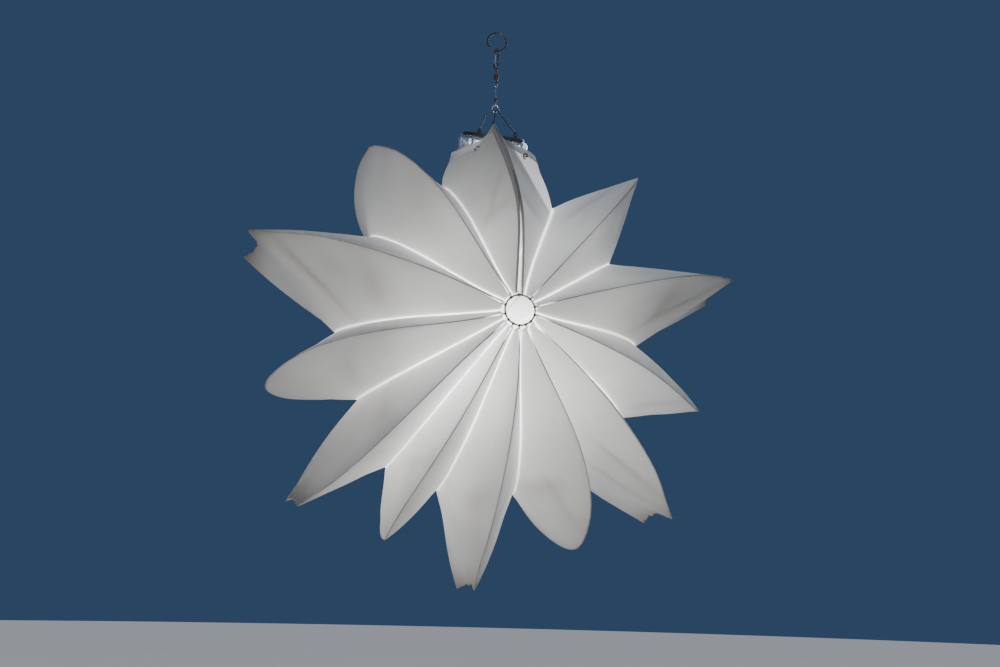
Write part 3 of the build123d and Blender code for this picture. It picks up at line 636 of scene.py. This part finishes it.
def bonded_edge(number, material):
    """The welded outer edge of an ordinary fin, where its two sheets are pressed together."""
    if is_fishtail(number):
        side = np.linspace(LIP_START, SIDE_END, 72)
        front = reached(number, fishtail_outline(side, number))
        rear = front * np.array([1, -1])
        strips = [lip_strip(number, side, front), lip_strip(number, 1 - side, rear)]
    else:
        around = np.linspace(LIP_START, 1 - LIP_START, 150)
        strips = [lip_strip(number, around, reached(number, round_edge(around)))]
    obj = joined_grids(f"fin_{number:02d}_bonded_edge", strips)
    radii = [np.hypot(vertex.co.x, vertex.co.z - CENTRE.z) for vertex in obj.data.vertices]
    paint(obj, "by_hub", np.clip(1.35 - np.array(radii) / HUB_BROWN_REACH, 0, 1))
    return attach(obj, material)


def strand(points, radius):
    """A thin tapering fibre through points, as a three-sided closed strip."""
    forward = unit(np.gradient(points, axis=0))
    side = unit(np.cross(forward, np.array([0.3, 0.8, 0.52])))
    return tube(points, side, np.cross(side, forward), radius * np.linspace(1.0, 0.15, len(points)), 3)


def frayed_tip(number, material):
    """Loose fibres along the cut notch of a fishtail, thickest at its two corners."""
    draw = np.random.default_rng(100 + number)
    fractions = rows_of(True)
    edge = reached(number, fray(fishtail_outline(fractions, number), fractions, number))
    overlap = 0.012
    notch = edge[(fractions >= SIDE_END - overlap) & (fractions <= 1 - SIDE_END + overlap)]
    corners = (notch[0], notch[-1])
    strips = []
    for k in range(FIBRES):
        at_corner = k < CORNER_FIBRES
        if at_corner:
            corner = corners[k % 2]
            back = draw.uniform(0, 9 * MM)
            inward = -np.sign(corner[1]) * draw.uniform(-0.1, 0.9) * back * 0.5
            root = corner + np.array([-back, inward])
            length = draw.uniform(2, 6.5) * MM
        else:
            root = notch[draw.integers(1, len(notch) - 1)] - np.array([draw.uniform(0, 1) * MM, 0])
            length = draw.uniform(0.8, 2.8) * MM
        lean = draw.normal(0, 0.5) + (0.5 * np.sign(root[1]) if at_corner else 0)
        curl = draw.normal(0, 0.35)
        steps = np.linspace(0, 1, 5)
        radial = root[0] + length * steps * cos(lean)
        width = root[1] + length * (steps * sin(lean) + curl * steps ** 2)
        side = draw.uniform(-0.6, 0.6) * MM + draw.normal(0, 0.8) * MM * steps ** 1.5
        half = SIDE_END if width[0] < 0 else 1 - SIDE_END
        inside = 1 - min(1.0, abs(width[0]) / abs(notch[0][1]))
        angle = edge_angles(number, np.array([half + (0.5 - half) * inside]))
        path = place(angle, side, np.stack([radial, width], axis=-1))
        strips.append(strand(path, draw.uniform(0.07, 0.16) * MM))
    return attach(joined_grids(f"fin_{number:02d}_frayed_tip", strips), material)


def tip_knot(number, fraction, material):
    """A small trefoil knot of thread that closes the end of a bonded edge."""
    angle = edge_angles(number, np.array([fraction]))
    sample = reached(number, round_edge(np.array([fraction])))[0] - np.array([3.2 * MM, 0])
    centre = place(angle, 0.9 * MM, sample[None])[0]
    a = radians(angle[0])
    outward, sideways = np.array([sin(a), 0, cos(a)]), np.array([cos(a), 0, -sin(a)])
    turn = np.linspace(0, 2 * pi, 61)[:, None]
    big, small, rise = 0.558 * MM, 0.341 * MM, 0.45 * MM
    path = centre + outward * (big * np.sin(turn) + 2 * small * np.sin(2 * turn))
    path += np.array([0, 1, 0]) * (big * np.cos(turn) - 2 * small * np.cos(2 * turn))
    path -= sideways * rise * np.sin(3 * turn)
    forward = unit(np.gradient(path, axis=0))
    side = unit(np.cross(forward, outward))
    grid = tube(path, side, np.cross(side, forward), 0.33 * MM, 8)
    return attach(joined_grids(f"fin_{number:02d}_thread_knot", [grid]), material)


def hub_binding(name, y_side, material):
    """Brown thread wound round the hub ring where each fin is tied to it, with a tail into the fin."""
    low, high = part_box("front_hub_ring" if y_side < 0 else "rear_hub_ring")
    ring_r, ring_y = (high.x - low.x) / 2 - 0.7 * MM, (low.y + high.y) / 2
    strips = []
    turns, pitch, over = 3.5, 0.62 * MM, np.array([0, 1, 0])
    for number, angle in enumerate(FIN_ANGLES):
        a = radians(angle)
        out, across = np.array([sin(a), 0, cos(a)]), np.array([cos(a), 0, -sin(a)])
        hub = np.array([0, ring_y, CENTRE.z]) + out * ring_r
        share = np.linspace(0, 1, 50)[:, None]
        wound = 1.05 * MM * (1 + 0.12 * np.sin(9 * share + number))
        round_ring = out * np.cos(2 * pi * turns * share) + over * np.sin(2 * pi * turns * share)
        path = hub + across * (share - 0.5) * turns * pitch + round_ring * wound
        strips.append(strand(path, 0.34 * MM))
        share = np.linspace(0, 1, 9)[:, None]
        tail = hub + out * (0.8 + 3.6 * share) * MM + over * y_side * 0.7 * np.sin(pi * share) * MM
        tail += across * 0.5 * MM * np.sin(2.5 * share + number)
        strips.append(strand(tail, 0.5 * MM))
    attach(joined_grids(name, strips), material)


# --- materials ---
class Shader:
    """A node material; each method adds nodes and returns the socket that they end in."""

    def __init__(self, name, color=(0.8, 0.8, 0.8), **sockets):
        self.material = bpy.data.materials.new(name)
        self.material.use_nodes = True
        self.tree = self.material.node_tree
        self.surface = self.tree.nodes["Principled BSDF"]
        self.surface.inputs["Base Color"].default_value = (*color, 1)
        for key, value in sockets.items():
            self.surface.inputs[key.replace("_", " ")].default_value = value
        self.where = self.tree.nodes.new("ShaderNodeTexCoord").outputs["Object"]

    def node(self, kind, **settings):
        node = self.tree.nodes.new(kind)
        for key, value in settings.items():
            setattr(node, key, value)
        return node

    def link(self, start, end):
        self.tree.links.new(start, end)

    def feed(self, node, values):
        for key, value in values.items():
            if isinstance(value, bpy.types.NodeSocket):
                self.link(value, node.inputs[key])
            else:
                node.inputs[key].default_value = value
        return node

    def noise(self, scale, detail=3.0, distortion=0.0, stretch=None):
        where = self.where
        if stretch:
            mapping = self.feed(self.node("ShaderNodeMapping"), {"Vector": where, "Scale": stretch})
            where = mapping.outputs["Vector"]
        node = self.node("ShaderNodeTexNoise")
        values = {"Vector": where, "Scale": scale, "Detail": detail, "Distortion": distortion}
        return self.feed(node, values).outputs["Fac"]

    def cells(self, scale):
        node = self.feed(self.node("ShaderNodeTexVoronoi"), {"Vector": self.where, "Scale": scale})
        return node.outputs["Distance"]

    def math(self, operation, a, b=0.0, c=0.0):
        node = self.node("ShaderNodeMath", operation=operation)
        return self.feed(node, {0: a, 1: b, 2: c}).outputs[0]

    def lines(self, value, pitch):
        """Zero on lines a pitch apart, and one half way between them."""
        return self.math("ABSOLUTE", self.math("SINE", self.math("MULTIPLY", value, pi / pitch)))

    def spread(self, value, low, high, start=0.0, end=1.0):
        node = self.node("ShaderNodeMapRange")
        values = {"Value": value, "From Min": low, "From Max": high, "To Min": start, "To Max": end}
        return self.feed(node, values).outputs["Result"]

    def mix(self, share, a, b):
        node = self.node("ShaderNodeMix", data_type="RGBA")
        for socket, value in ((node.inputs[0], share), (node.inputs[6], a), (node.inputs[7], b)):
            if isinstance(value, bpy.types.NodeSocket):
                self.link(value, socket)
            else:
                socket.default_value = value if socket is node.inputs[0] else (*value, 1)
        return node.outputs[2]

    def read(self, name):
        return self.node("ShaderNodeAttribute", attribute_name=name).outputs["Fac"]

    def bump(self, height, strength, distance):
        node = self.node("ShaderNodeBump")
        self.feed(node, {"Height": height, "Strength": strength, "Distance": distance})
        self.link(node.outputs["Normal"], self.surface.inputs["Normal"])

    def use(self, **sockets):
        for key, value in sockets.items():
            self.link(value, self.surface.inputs[key.replace("_", " ")])

    def translucent(self, share, color):
        """Part of the light passes through the sheet and scatters."""
        through = self.feed(self.node("ShaderNodeBsdfTranslucent"), {"Color": color})
        mix = self.feed(self.node("ShaderNodeMixShader"), {"Fac": share})
        self.link(self.surface.outputs[0], mix.inputs[1])
        self.link(through.outputs[0], mix.inputs[2])
        self.link(mix.outputs[0], self.tree.nodes["Material Output"].inputs["Surface"])


def fibres(look):
    """Random fine filaments, pressed flat, with thicker and thinner patches of web."""
    web = look.noise(1400, 5.0, 2.2, stretch=(1.0, 0.35, 1.0))
    cross = look.noise(1500, 5.0, 1.8, stretch=(0.4, 1.0, 0.9))
    patches = look.noise(120, 3.0)
    height = look.math("ADD", web, cross)
    return height, patches


def sheet_cloth(name, lit, core):
    """White spunbonded sheet; the side towards the lamps carries more of their light."""
    look = Shader(name, Roughness=0.78, Specular_IOR_Level=0.22, Sheen_Weight=0.18, Sheen_Roughness=0.5,
                  Emission_Color=(0.985, 0.985, 0.98, 1))
    height, patches = fibres(look)
    web = look.spread(height, 0.7, 1.3)
    unshaded_sheet = look.mix(patches, (0.72, 0.72, 0.715), (0.82, 0.82, 0.81))
    unshaded_sheet = look.mix(look.math("MULTIPLY", web, 0.12), unshaded_sheet, (0.66, 0.65, 0.63))
    # The panel's painted shade greys the sheet, varied a little by its patches.
    painted_shade = look.math("MULTIPLY", look.read("painted_shade"), look.spread(patches, 0.2, 0.8, 0.75, 1.0))
    dulled = look.mix(painted_shade, unshaded_sheet, (0.42, 0.405, 0.375))
    # Darker and browner at the very tips of the fins.
    color = look.mix(look.math("MULTIPLY", look.read("soil"), 0.8), dulled, (0.22, 0.20, 0.165))
    glow = look.math("MULTIPLY", look.read("glow"), look.spread(web, 0.0, 1.0, 1.0, 0.82))
    strength = look.math("MULTIPLY_ADD", look.read("core"), core, look.math("MULTIPLY", glow, lit))
    look.use(Base_Color=color, Emission_Strength=strength)
    look.bump(height, 0.35, 0.12 * MM)
    look.translucent(look.math("MULTIPLY_ADD", look.read("core"), -0.27, 0.32), color)
    return look.material


def hem_cloth():
    """Doubled sheet of the hem, grey along the closed seam by painted shade, and paler round the collar."""
    look = Shader("hem_cloth", Roughness=0.85, Specular_IOR_Level=0.18, Sheen_Weight=0.15)
    height, patches = fibres(look)
    # Along the seam: painted shade, varied by wear.
    seam_wear_and_shade = look.mix(look.read("wear"), (0.17, 0.162, 0.158), (0.27, 0.26, 0.255))
    seam = look.mix(look.spread(patches, 0.3, 0.7), seam_wear_and_shade, (0.22, 0.21, 0.205))
    collar = look.mix(look.read("wear"), (0.62, 0.61, 0.60), (0.78, 0.77, 0.76))
    look.use(Base_Color=look.mix(look.read("seam_shade"), collar, seam))
    look.bump(height, 0.45, 0.15 * MM)
    return look.material


def bonded_cloth():
    """Pressed outer edge of a fin, mottled, with painted shade that makes it a dark brownish grey."""
    look = Shader("bonded_edge", Roughness=0.7)
    grain = look.noise(700, 4.0, 0.6)
    # Painted shade makes the edge a dark brownish grey, mottled by noise.
    color = look.mix(look.spread(look.noise(60), 0.35, 0.65), (0.20, 0.165, 0.14), (0.40, 0.37, 0.335))
    color = look.mix(look.spread(grain, 0.5, 0.75), color, (0.50, 0.47, 0.43))
    # Darker and browner near the hub.
    look.use(Base_Color=look.mix(look.read("by_hub"), color, (0.13, 0.085, 0.065)))
    look.bump(grain, 0.5, 0.1 * MM)
    return look.material


def loose_fibre():
    look = Shader("loose_fibre", Roughness=0.8)
    color = look.mix(look.noise(260), (0.06, 0.05, 0.045), (0.24, 0.21, 0.17))
    look.use(Base_Color=color)
    return look.material


def thread(name, dark, light):
    look = Shader(name, Roughness=0.55, Sheen_Weight=0.25)
    twist = look.noise(2600, 2.0, 0.0, stretch=(1.0, 1.0, 2.4))
    look.use(Base_Color=look.mix(twist, dark, light))
    look.bump(twist, 0.5, 0.05 * MM)
    return look.material


def pile():
    """Short hooked pile of the closing strips."""
    look = Shader("closing_pile", Roughness=0.95, Sheen_Weight=0.4)
    tufts = look.cells(1500)
    look.use(Base_Color=look.mix(look.spread(tufts, 0.1, 0.6), (0.19, 0.17, 0.16), (0.42, 0.39, 0.36)))
    look.bump(tufts, 0.8, 0.3 * MM)
    return look.material


def dark_wire():
    """Brown lacquered wire with rubbed and rusty spots."""
    look = Shader("brown_wire", Metallic=0.55, Roughness=0.42, Coat_Weight=0.3)
    rubbed = look.spread(look.noise(420, 5.0, 0.3), 0.56, 0.68)
    rust = look.spread(look.noise(160, 4.0), 0.45, 0.7)
    color = look.mix(rust, (0.040, 0.026, 0.018), (0.12, 0.052, 0.022))
    look.use(Base_Color=look.mix(rubbed, color, (0.26, 0.20, 0.16)),
             Roughness=look.spread(rust, 0, 1, 0.34, 0.7))
    look.bump(look.noise(1300, 3.0), 0.25, 0.05 * MM)
    return look.material


def bright_wire():
    """Plated wire with fine drawn lines and a little dulling."""
    look = Shader("bright_wire", Metallic=1.0, Roughness=0.24)
    drawn = look.noise(900, 3.0, 0.0, stretch=(1.0, 1.0, 0.12))
    dulled = look.noise(220, 4.0)
    look.use(Base_Color=look.mix(dulled, (0.58, 0.59, 0.62), (0.83, 0.84, 0.86)),
             Roughness=look.spread(drawn, 0.3, 0.7, 0.16, 0.38))
    look.bump(drawn, 0.2, 0.03 * MM)
    return look.material


def plated_steel():
    look = Shader("plated_steel", Metallic=1.0, Roughness=0.35)
    grain = look.noise(800, 4.0)
    look.use(Base_Color=look.mix(grain, (0.50, 0.50, 0.51), (0.72, 0.72, 0.71)),
             Roughness=look.spread(look.noise(150), 0.3, 0.7, 0.25, 0.5))
    look.bump(grain, 0.15, 0.04 * MM)
    return look.material


def clear_plastic():
    """Clear moulded cup with flow lines, fine scratches and dust."""
    look = Shader("clear_plastic", (0.90, 0.93, 0.95), Roughness=0.06, IOR=1.49, Transmission_Weight=0.92)
    scratch = look.spread(look.noise(240, 6.0, 1.4, stretch=(1.0, 1.0, 0.25)), 0.56, 0.62)
    dust = look.spread(look.noise(1100, 3.0), 0.55, 0.8)
    look.use(Base_Color=look.mix(dust, (0.88, 0.92, 0.95), (0.74, 0.76, 0.77)),
             Roughness=look.spread(look.math("MAXIMUM", scratch, dust), 0, 1, 0.04, 0.28))
    look.bump(look.noise(70, 2.0), 0.15, 0.2 * MM)
    return look.material


def moulded(name, dark, light, rough, grain_scale=1600):
    """Moulded plastic with a fine spark-eroded grain and handling marks."""
    look = Shader(name, Roughness=rough, Specular_IOR_Level=0.45)
    grain = look.noise(grain_scale, 3.0)
    marks = look.noise(75, 5.0, 0.6)
    look.use(Base_Color=look.mix(look.spread(marks, 0.3, 0.7), dark, light),
             Roughness=look.spread(marks, 0.3, 0.7, rough - 0.08, rough + 0.1))
    look.bump(grain, 0.3, 0.06 * MM)
    return look.material


CAP_PITCH, CAP_ROLL = 18.0, 3.0
CAP_TILT = Euler((radians(CAP_PITCH), 0, 0)).to_matrix() @ Euler((0, radians(CAP_ROLL), 0)).to_matrix()


def in_cap(look):
    """Coordinates in the cap's own frame, centred on its solar cell."""
    low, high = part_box("solar_cell")
    node = look.node("ShaderNodeMapping", vector_type="TEXTURE")
    look.feed(node, {"Vector": look.where, "Location": (low + high) / 2, "Rotation": CAP_TILT.to_euler()})
    return node.outputs["Vector"]


def solar_glass():
    """Dark cell with fine silver fingers and two bus bars under clear resin."""
    look = Shader("solar_cell", Roughness=0.18, Coat_Weight=0.8, Coat_Roughness=0.05)
    finger_pitch, bar_at, cell_pitch = 2.2 * MM, 8.5 * MM, 9.5 * MM
    split = look.feed(look.node("ShaderNodeSeparateXYZ"), {0: in_cap(look)})
    fingers, gaps = look.lines(split.outputs[1], finger_pitch), look.lines(split.outputs[0], cell_pitch)
    bars = look.math("ABSOLUTE", look.math("SUBTRACT", look.math("ABSOLUTE", split.outputs[0]), bar_at))
    silver = look.math("MAXIMUM", look.spread(fingers, 0.10, 0.04), look.spread(bars, 0.7 * MM, 0.4 * MM))
    crystal = look.mix(look.cells(420), (0.010, 0.016, 0.050), (0.022, 0.035, 0.105))
    cell = look.mix(look.spread(gaps, 0.09, 0.05), crystal, (0.02, 0.02, 0.022))
    look.use(Base_Color=look.mix(silver, cell, (0.42, 0.43, 0.46)),
             Metallic=look.math("MULTIPLY", silver, 0.6))
    return look.material


def board_lacquer():
    """Green circuit board with darker tracks and speckled pads."""
    look = Shader("circuit_board", Roughness=0.35, Coat_Weight=0.4)
    brick = look.node("ShaderNodeTexBrick")
    look.feed(brick, {"Vector": in_cap(look), "Scale": 260.0, "Mortar Size": 0.012,
                      "Color1": (0.018, 0.16, 0.062, 1), "Color2": (0.014, 0.12, 0.048, 1),
                      "Mortar": (0.05, 0.27, 0.12, 1)})
    weave = look.noise(900, 2.0)
    look.use(Base_Color=look.mix(look.spread(weave, 0.6, 0.75), brick.outputs["Color"], (0.45, 0.40, 0.22)))
    look.bump(brick.outputs["Fac"], 0.3, 0.05 * MM)
    return look.material


def lamp_resin():
    """Water-clear lamp bodies, lit."""
    look = Shader("lamp_resin", (0.96, 0.95, 0.90), Roughness=0.12, IOR=1.5,
                  Emission_Color=(1.0, 0.97, 0.88, 1))
    swirl = look.noise(500, 2.0)
    look.use(Base_Color=look.mix(swirl, (0.93, 0.92, 0.84), (1.0, 0.99, 0.95)),
             Emission_Strength=look.spread(swirl, 0.3, 0.7, 2.2, 3.4))
    return look.material


def battery_wrap():
    """Shrink wrap in two plain colours with faint wrinkles."""
    look = Shader("battery_wrap", Roughness=0.3, Coat_Weight=0.3)
    split = look.feed(look.node("ShaderNodeSeparateXYZ"), {0: in_cap(look)})
    band = look.spread(split.outputs[0], 8.5 * MM, 9.0 * MM)
    color = look.mix(band, (0.035, 0.20, 0.10), (0.62, 0.63, 0.64))
    wrinkle = look.noise(350, 3.0, 0.0, stretch=(0.3, 1.0, 1.0))
    look.use(Base_Color=look.mix(look.spread(wrinkle, 0.4, 0.8), color, (0.10, 0.14, 0.12)))
    look.bump(wrinkle, 0.2, 0.1 * MM)
    return look.material


CAD_MATERIALS = {
    "dark_wire": dark_wire(),
    "bright_wire": bright_wire(),
    "steel": plated_steel(),
    "clear_plastic": clear_plastic(),
    "dark_plastic": moulded("dark_plastic", (0.018, 0.017, 0.018), (0.045, 0.043, 0.045), 0.38),
    "white_plastic": moulded("white_plastic", (0.70, 0.70, 0.68), (0.80, 0.80, 0.79), 0.45),
    "seal": moulded("seal_rubber", (0.02, 0.02, 0.02), (0.05, 0.05, 0.052), 0.7, 700),
    "solar_glass": solar_glass(),
    "board": board_lacquer(),
    "lamp": lamp_resin(),
    "battery_wrap": battery_wrap(),
    "closing_strip": pile(),
}


def dress_cad():
    """Every CAD node that stays gets the material of its slot."""
    for part in frame["record"]["subparts"]:
        material = CAD_MATERIALS.get(part["material_slot"])
        if material:
            mesh = frame["nodes"][part["node"]].data
            mesh.materials.clear()
            mesh.materials.append(material)


# --- the star ---
def build_star():
    outside, inside = sheet_cloth("sheet_outside", 0.60, 0.0), sheet_cloth("sheet_inside", 0.7, 2.0)
    edge_cloth, fibre = bonded_cloth(), loose_fibre()
    white_thread = thread("white_thread", (0.80, 0.80, 0.78), (0.97, 0.97, 0.96))
    for number in range(2, FIN_COUNT + 1):
        extras = [bonded_edge(number, edge_cloth)]
        if is_fishtail(number):
            extras.append(frayed_tip(number, fibre))
        for side in (-1, 1):
            panel, size, area = fin_panel(number, side, (outside, inside))
    cord_thread = thread("rust_thread", (0.055, 0.028, 0.018), (0.15, 0.085, 0.055))
    hub_binding("front_hub_bindings", -1, cord_thread)
    hub_binding("rear_hub_bindings", 1, cord_thread)
    for number, fraction in KNOTS.items():
        tip_knot(number, fraction, white_thread)


def build_seam_fin():
    outside, inside = bpy.data.materials["sheet_outside"], bpy.data.materials["sheet_inside"]
    hem_material = hem_cloth()
    brown_thread = thread("brown_thread", (0.10, 0.085, 0.075), (0.22, 0.19, 0.17))
    for side in (-1, 1):
        panel, size, area = end_panel(side, (outside, inside))
        hem, (line, normal) = hem_band(side, hem_material)
        word = "left" if side < 0 else "right"
        seam = line * 0.8 + end_lines(side)[0] * 0.2
        row = stitch_row(f"hem_stitches_{word}", seam, normal, 3.2 * MM, brown_thread)


# --- stage, light and camera ---
FLOOR_DROP = 0.42
FLOOR_R = 9.0
FLOOR_CORNERS = 96
FLOOR_LIGHT = 0.45         # the floor carries this much of its own soft light


def build_stage():
    low = cad_box[0][2]
    turns = [2 * pi * k / FLOOR_CORNERS for k in range(FLOOR_CORNERS)]
    ring = [(FLOOR_R * cos(turn), FLOOR_R * sin(turn), low - FLOOR_DROP) for turn in turns]
    floor = mesh_of("floor", ring, [tuple(range(FLOOR_CORNERS))])
    look = Shader("pale_floor", Roughness=0.8, Emission_Strength=FLOOR_LIGHT)
    pale = look.mix(look.noise(3.0), (0.60, 0.60, 0.59), (0.64, 0.64, 0.63))
    look.use(Base_Color=pale, Emission_Color=pale)
    floor.data.materials.append(look.material)


def area_light(name, at, size, energy, color):
    """A soft disk light that faces the middle of the star."""
    light = bpy.data.lights.new(name, "AREA")
    light.shape, light.size, light.energy, light.color = "DISK", size, energy, color
    obj = bpy.data.objects.new(name, light)
    obj.location = at
    obj.rotation_euler = (CENTRE - Vector(at)).to_track_quat("-Z", "Y").to_euler()
    bpy.context.scene.collection.objects.link(obj)


def inner_light(name, at, energy, radius):
    """Soft light of the lamps inside the star; it moves with the lantern."""
    light = bpy.data.lights.new(name, "POINT")
    light.energy, light.shadow_soft_size, light.color = energy, radius, (1.0, 0.97, 0.92)
    obj = bpy.data.objects.new(name, light)
    obj.parent = frame["bodies"]["lantern"]
    obj.location = at
    bpy.context.scene.collection.objects.link(obj)


def build_light():
    world = bpy.data.worlds.new("studio")
    bpy.context.scene.world = world
    world.use_nodes = True
    background = world.node_tree.nodes["Background"]
    background.inputs["Color"].default_value = (0.030, 0.062, 0.125, 1)
    background.inputs["Strength"].default_value = 1.0
    area_light("key", (-0.9, -1.7, 1.3), 1.6, 6, (0.82, 0.91, 1.0))
    area_light("sky", (0.4, 0.5, 1.9), 2.0, 10, (0.62, 0.80, 1.0))
    area_light("back", (0.9, 1.8, 0.6), 1.4, 15, (0.85, 0.92, 1.0))
    area_light("low", (-0.6, -1.6, -0.5), 0.75, 12, (1.0, 0.92, 0.82))
    inner_light("lamp_light", CENTRE + Vector((0, 0, -0.06)), 0.8, 0.04)


# The camera looks up at the star from its left front: fitted to the fin tips in the photograph.
CAMERA_FROM_CENTRE = Vector((-0.23455, -1.14908, -0.21158))
CAMERA_RIGHT = Vector((0.97865, -0.20415, 0.02384))
CAMERA_UP = Vector((-0.05923, -0.16906, 0.98382))


def build_camera():
    camera = bpy.data.cameras.new("camera")
    camera.lens, camera.sensor_width = 46.8, 36.0
    camera.shift_x, camera.shift_y = 0.010, 0.0015
    camera.clip_start = 0.05
    obj = bpy.data.objects.new("camera", camera)
    right, up = CAMERA_RIGHT.normalized(), CAMERA_UP.normalized()
    back = right.cross(up).normalized()
    turn = Matrix((right, back.cross(right), back)).transposed()
    obj.matrix_world = Matrix.Translation(CENTRE + CAMERA_FROM_CENTRE) @ turn.to_4x4()
    bpy.context.scene.collection.objects.link(obj)
    bpy.context.scene.camera = obj


build_camera()
build_stage()
build_light()
dress_cad()
build_star()
build_seam_fin()
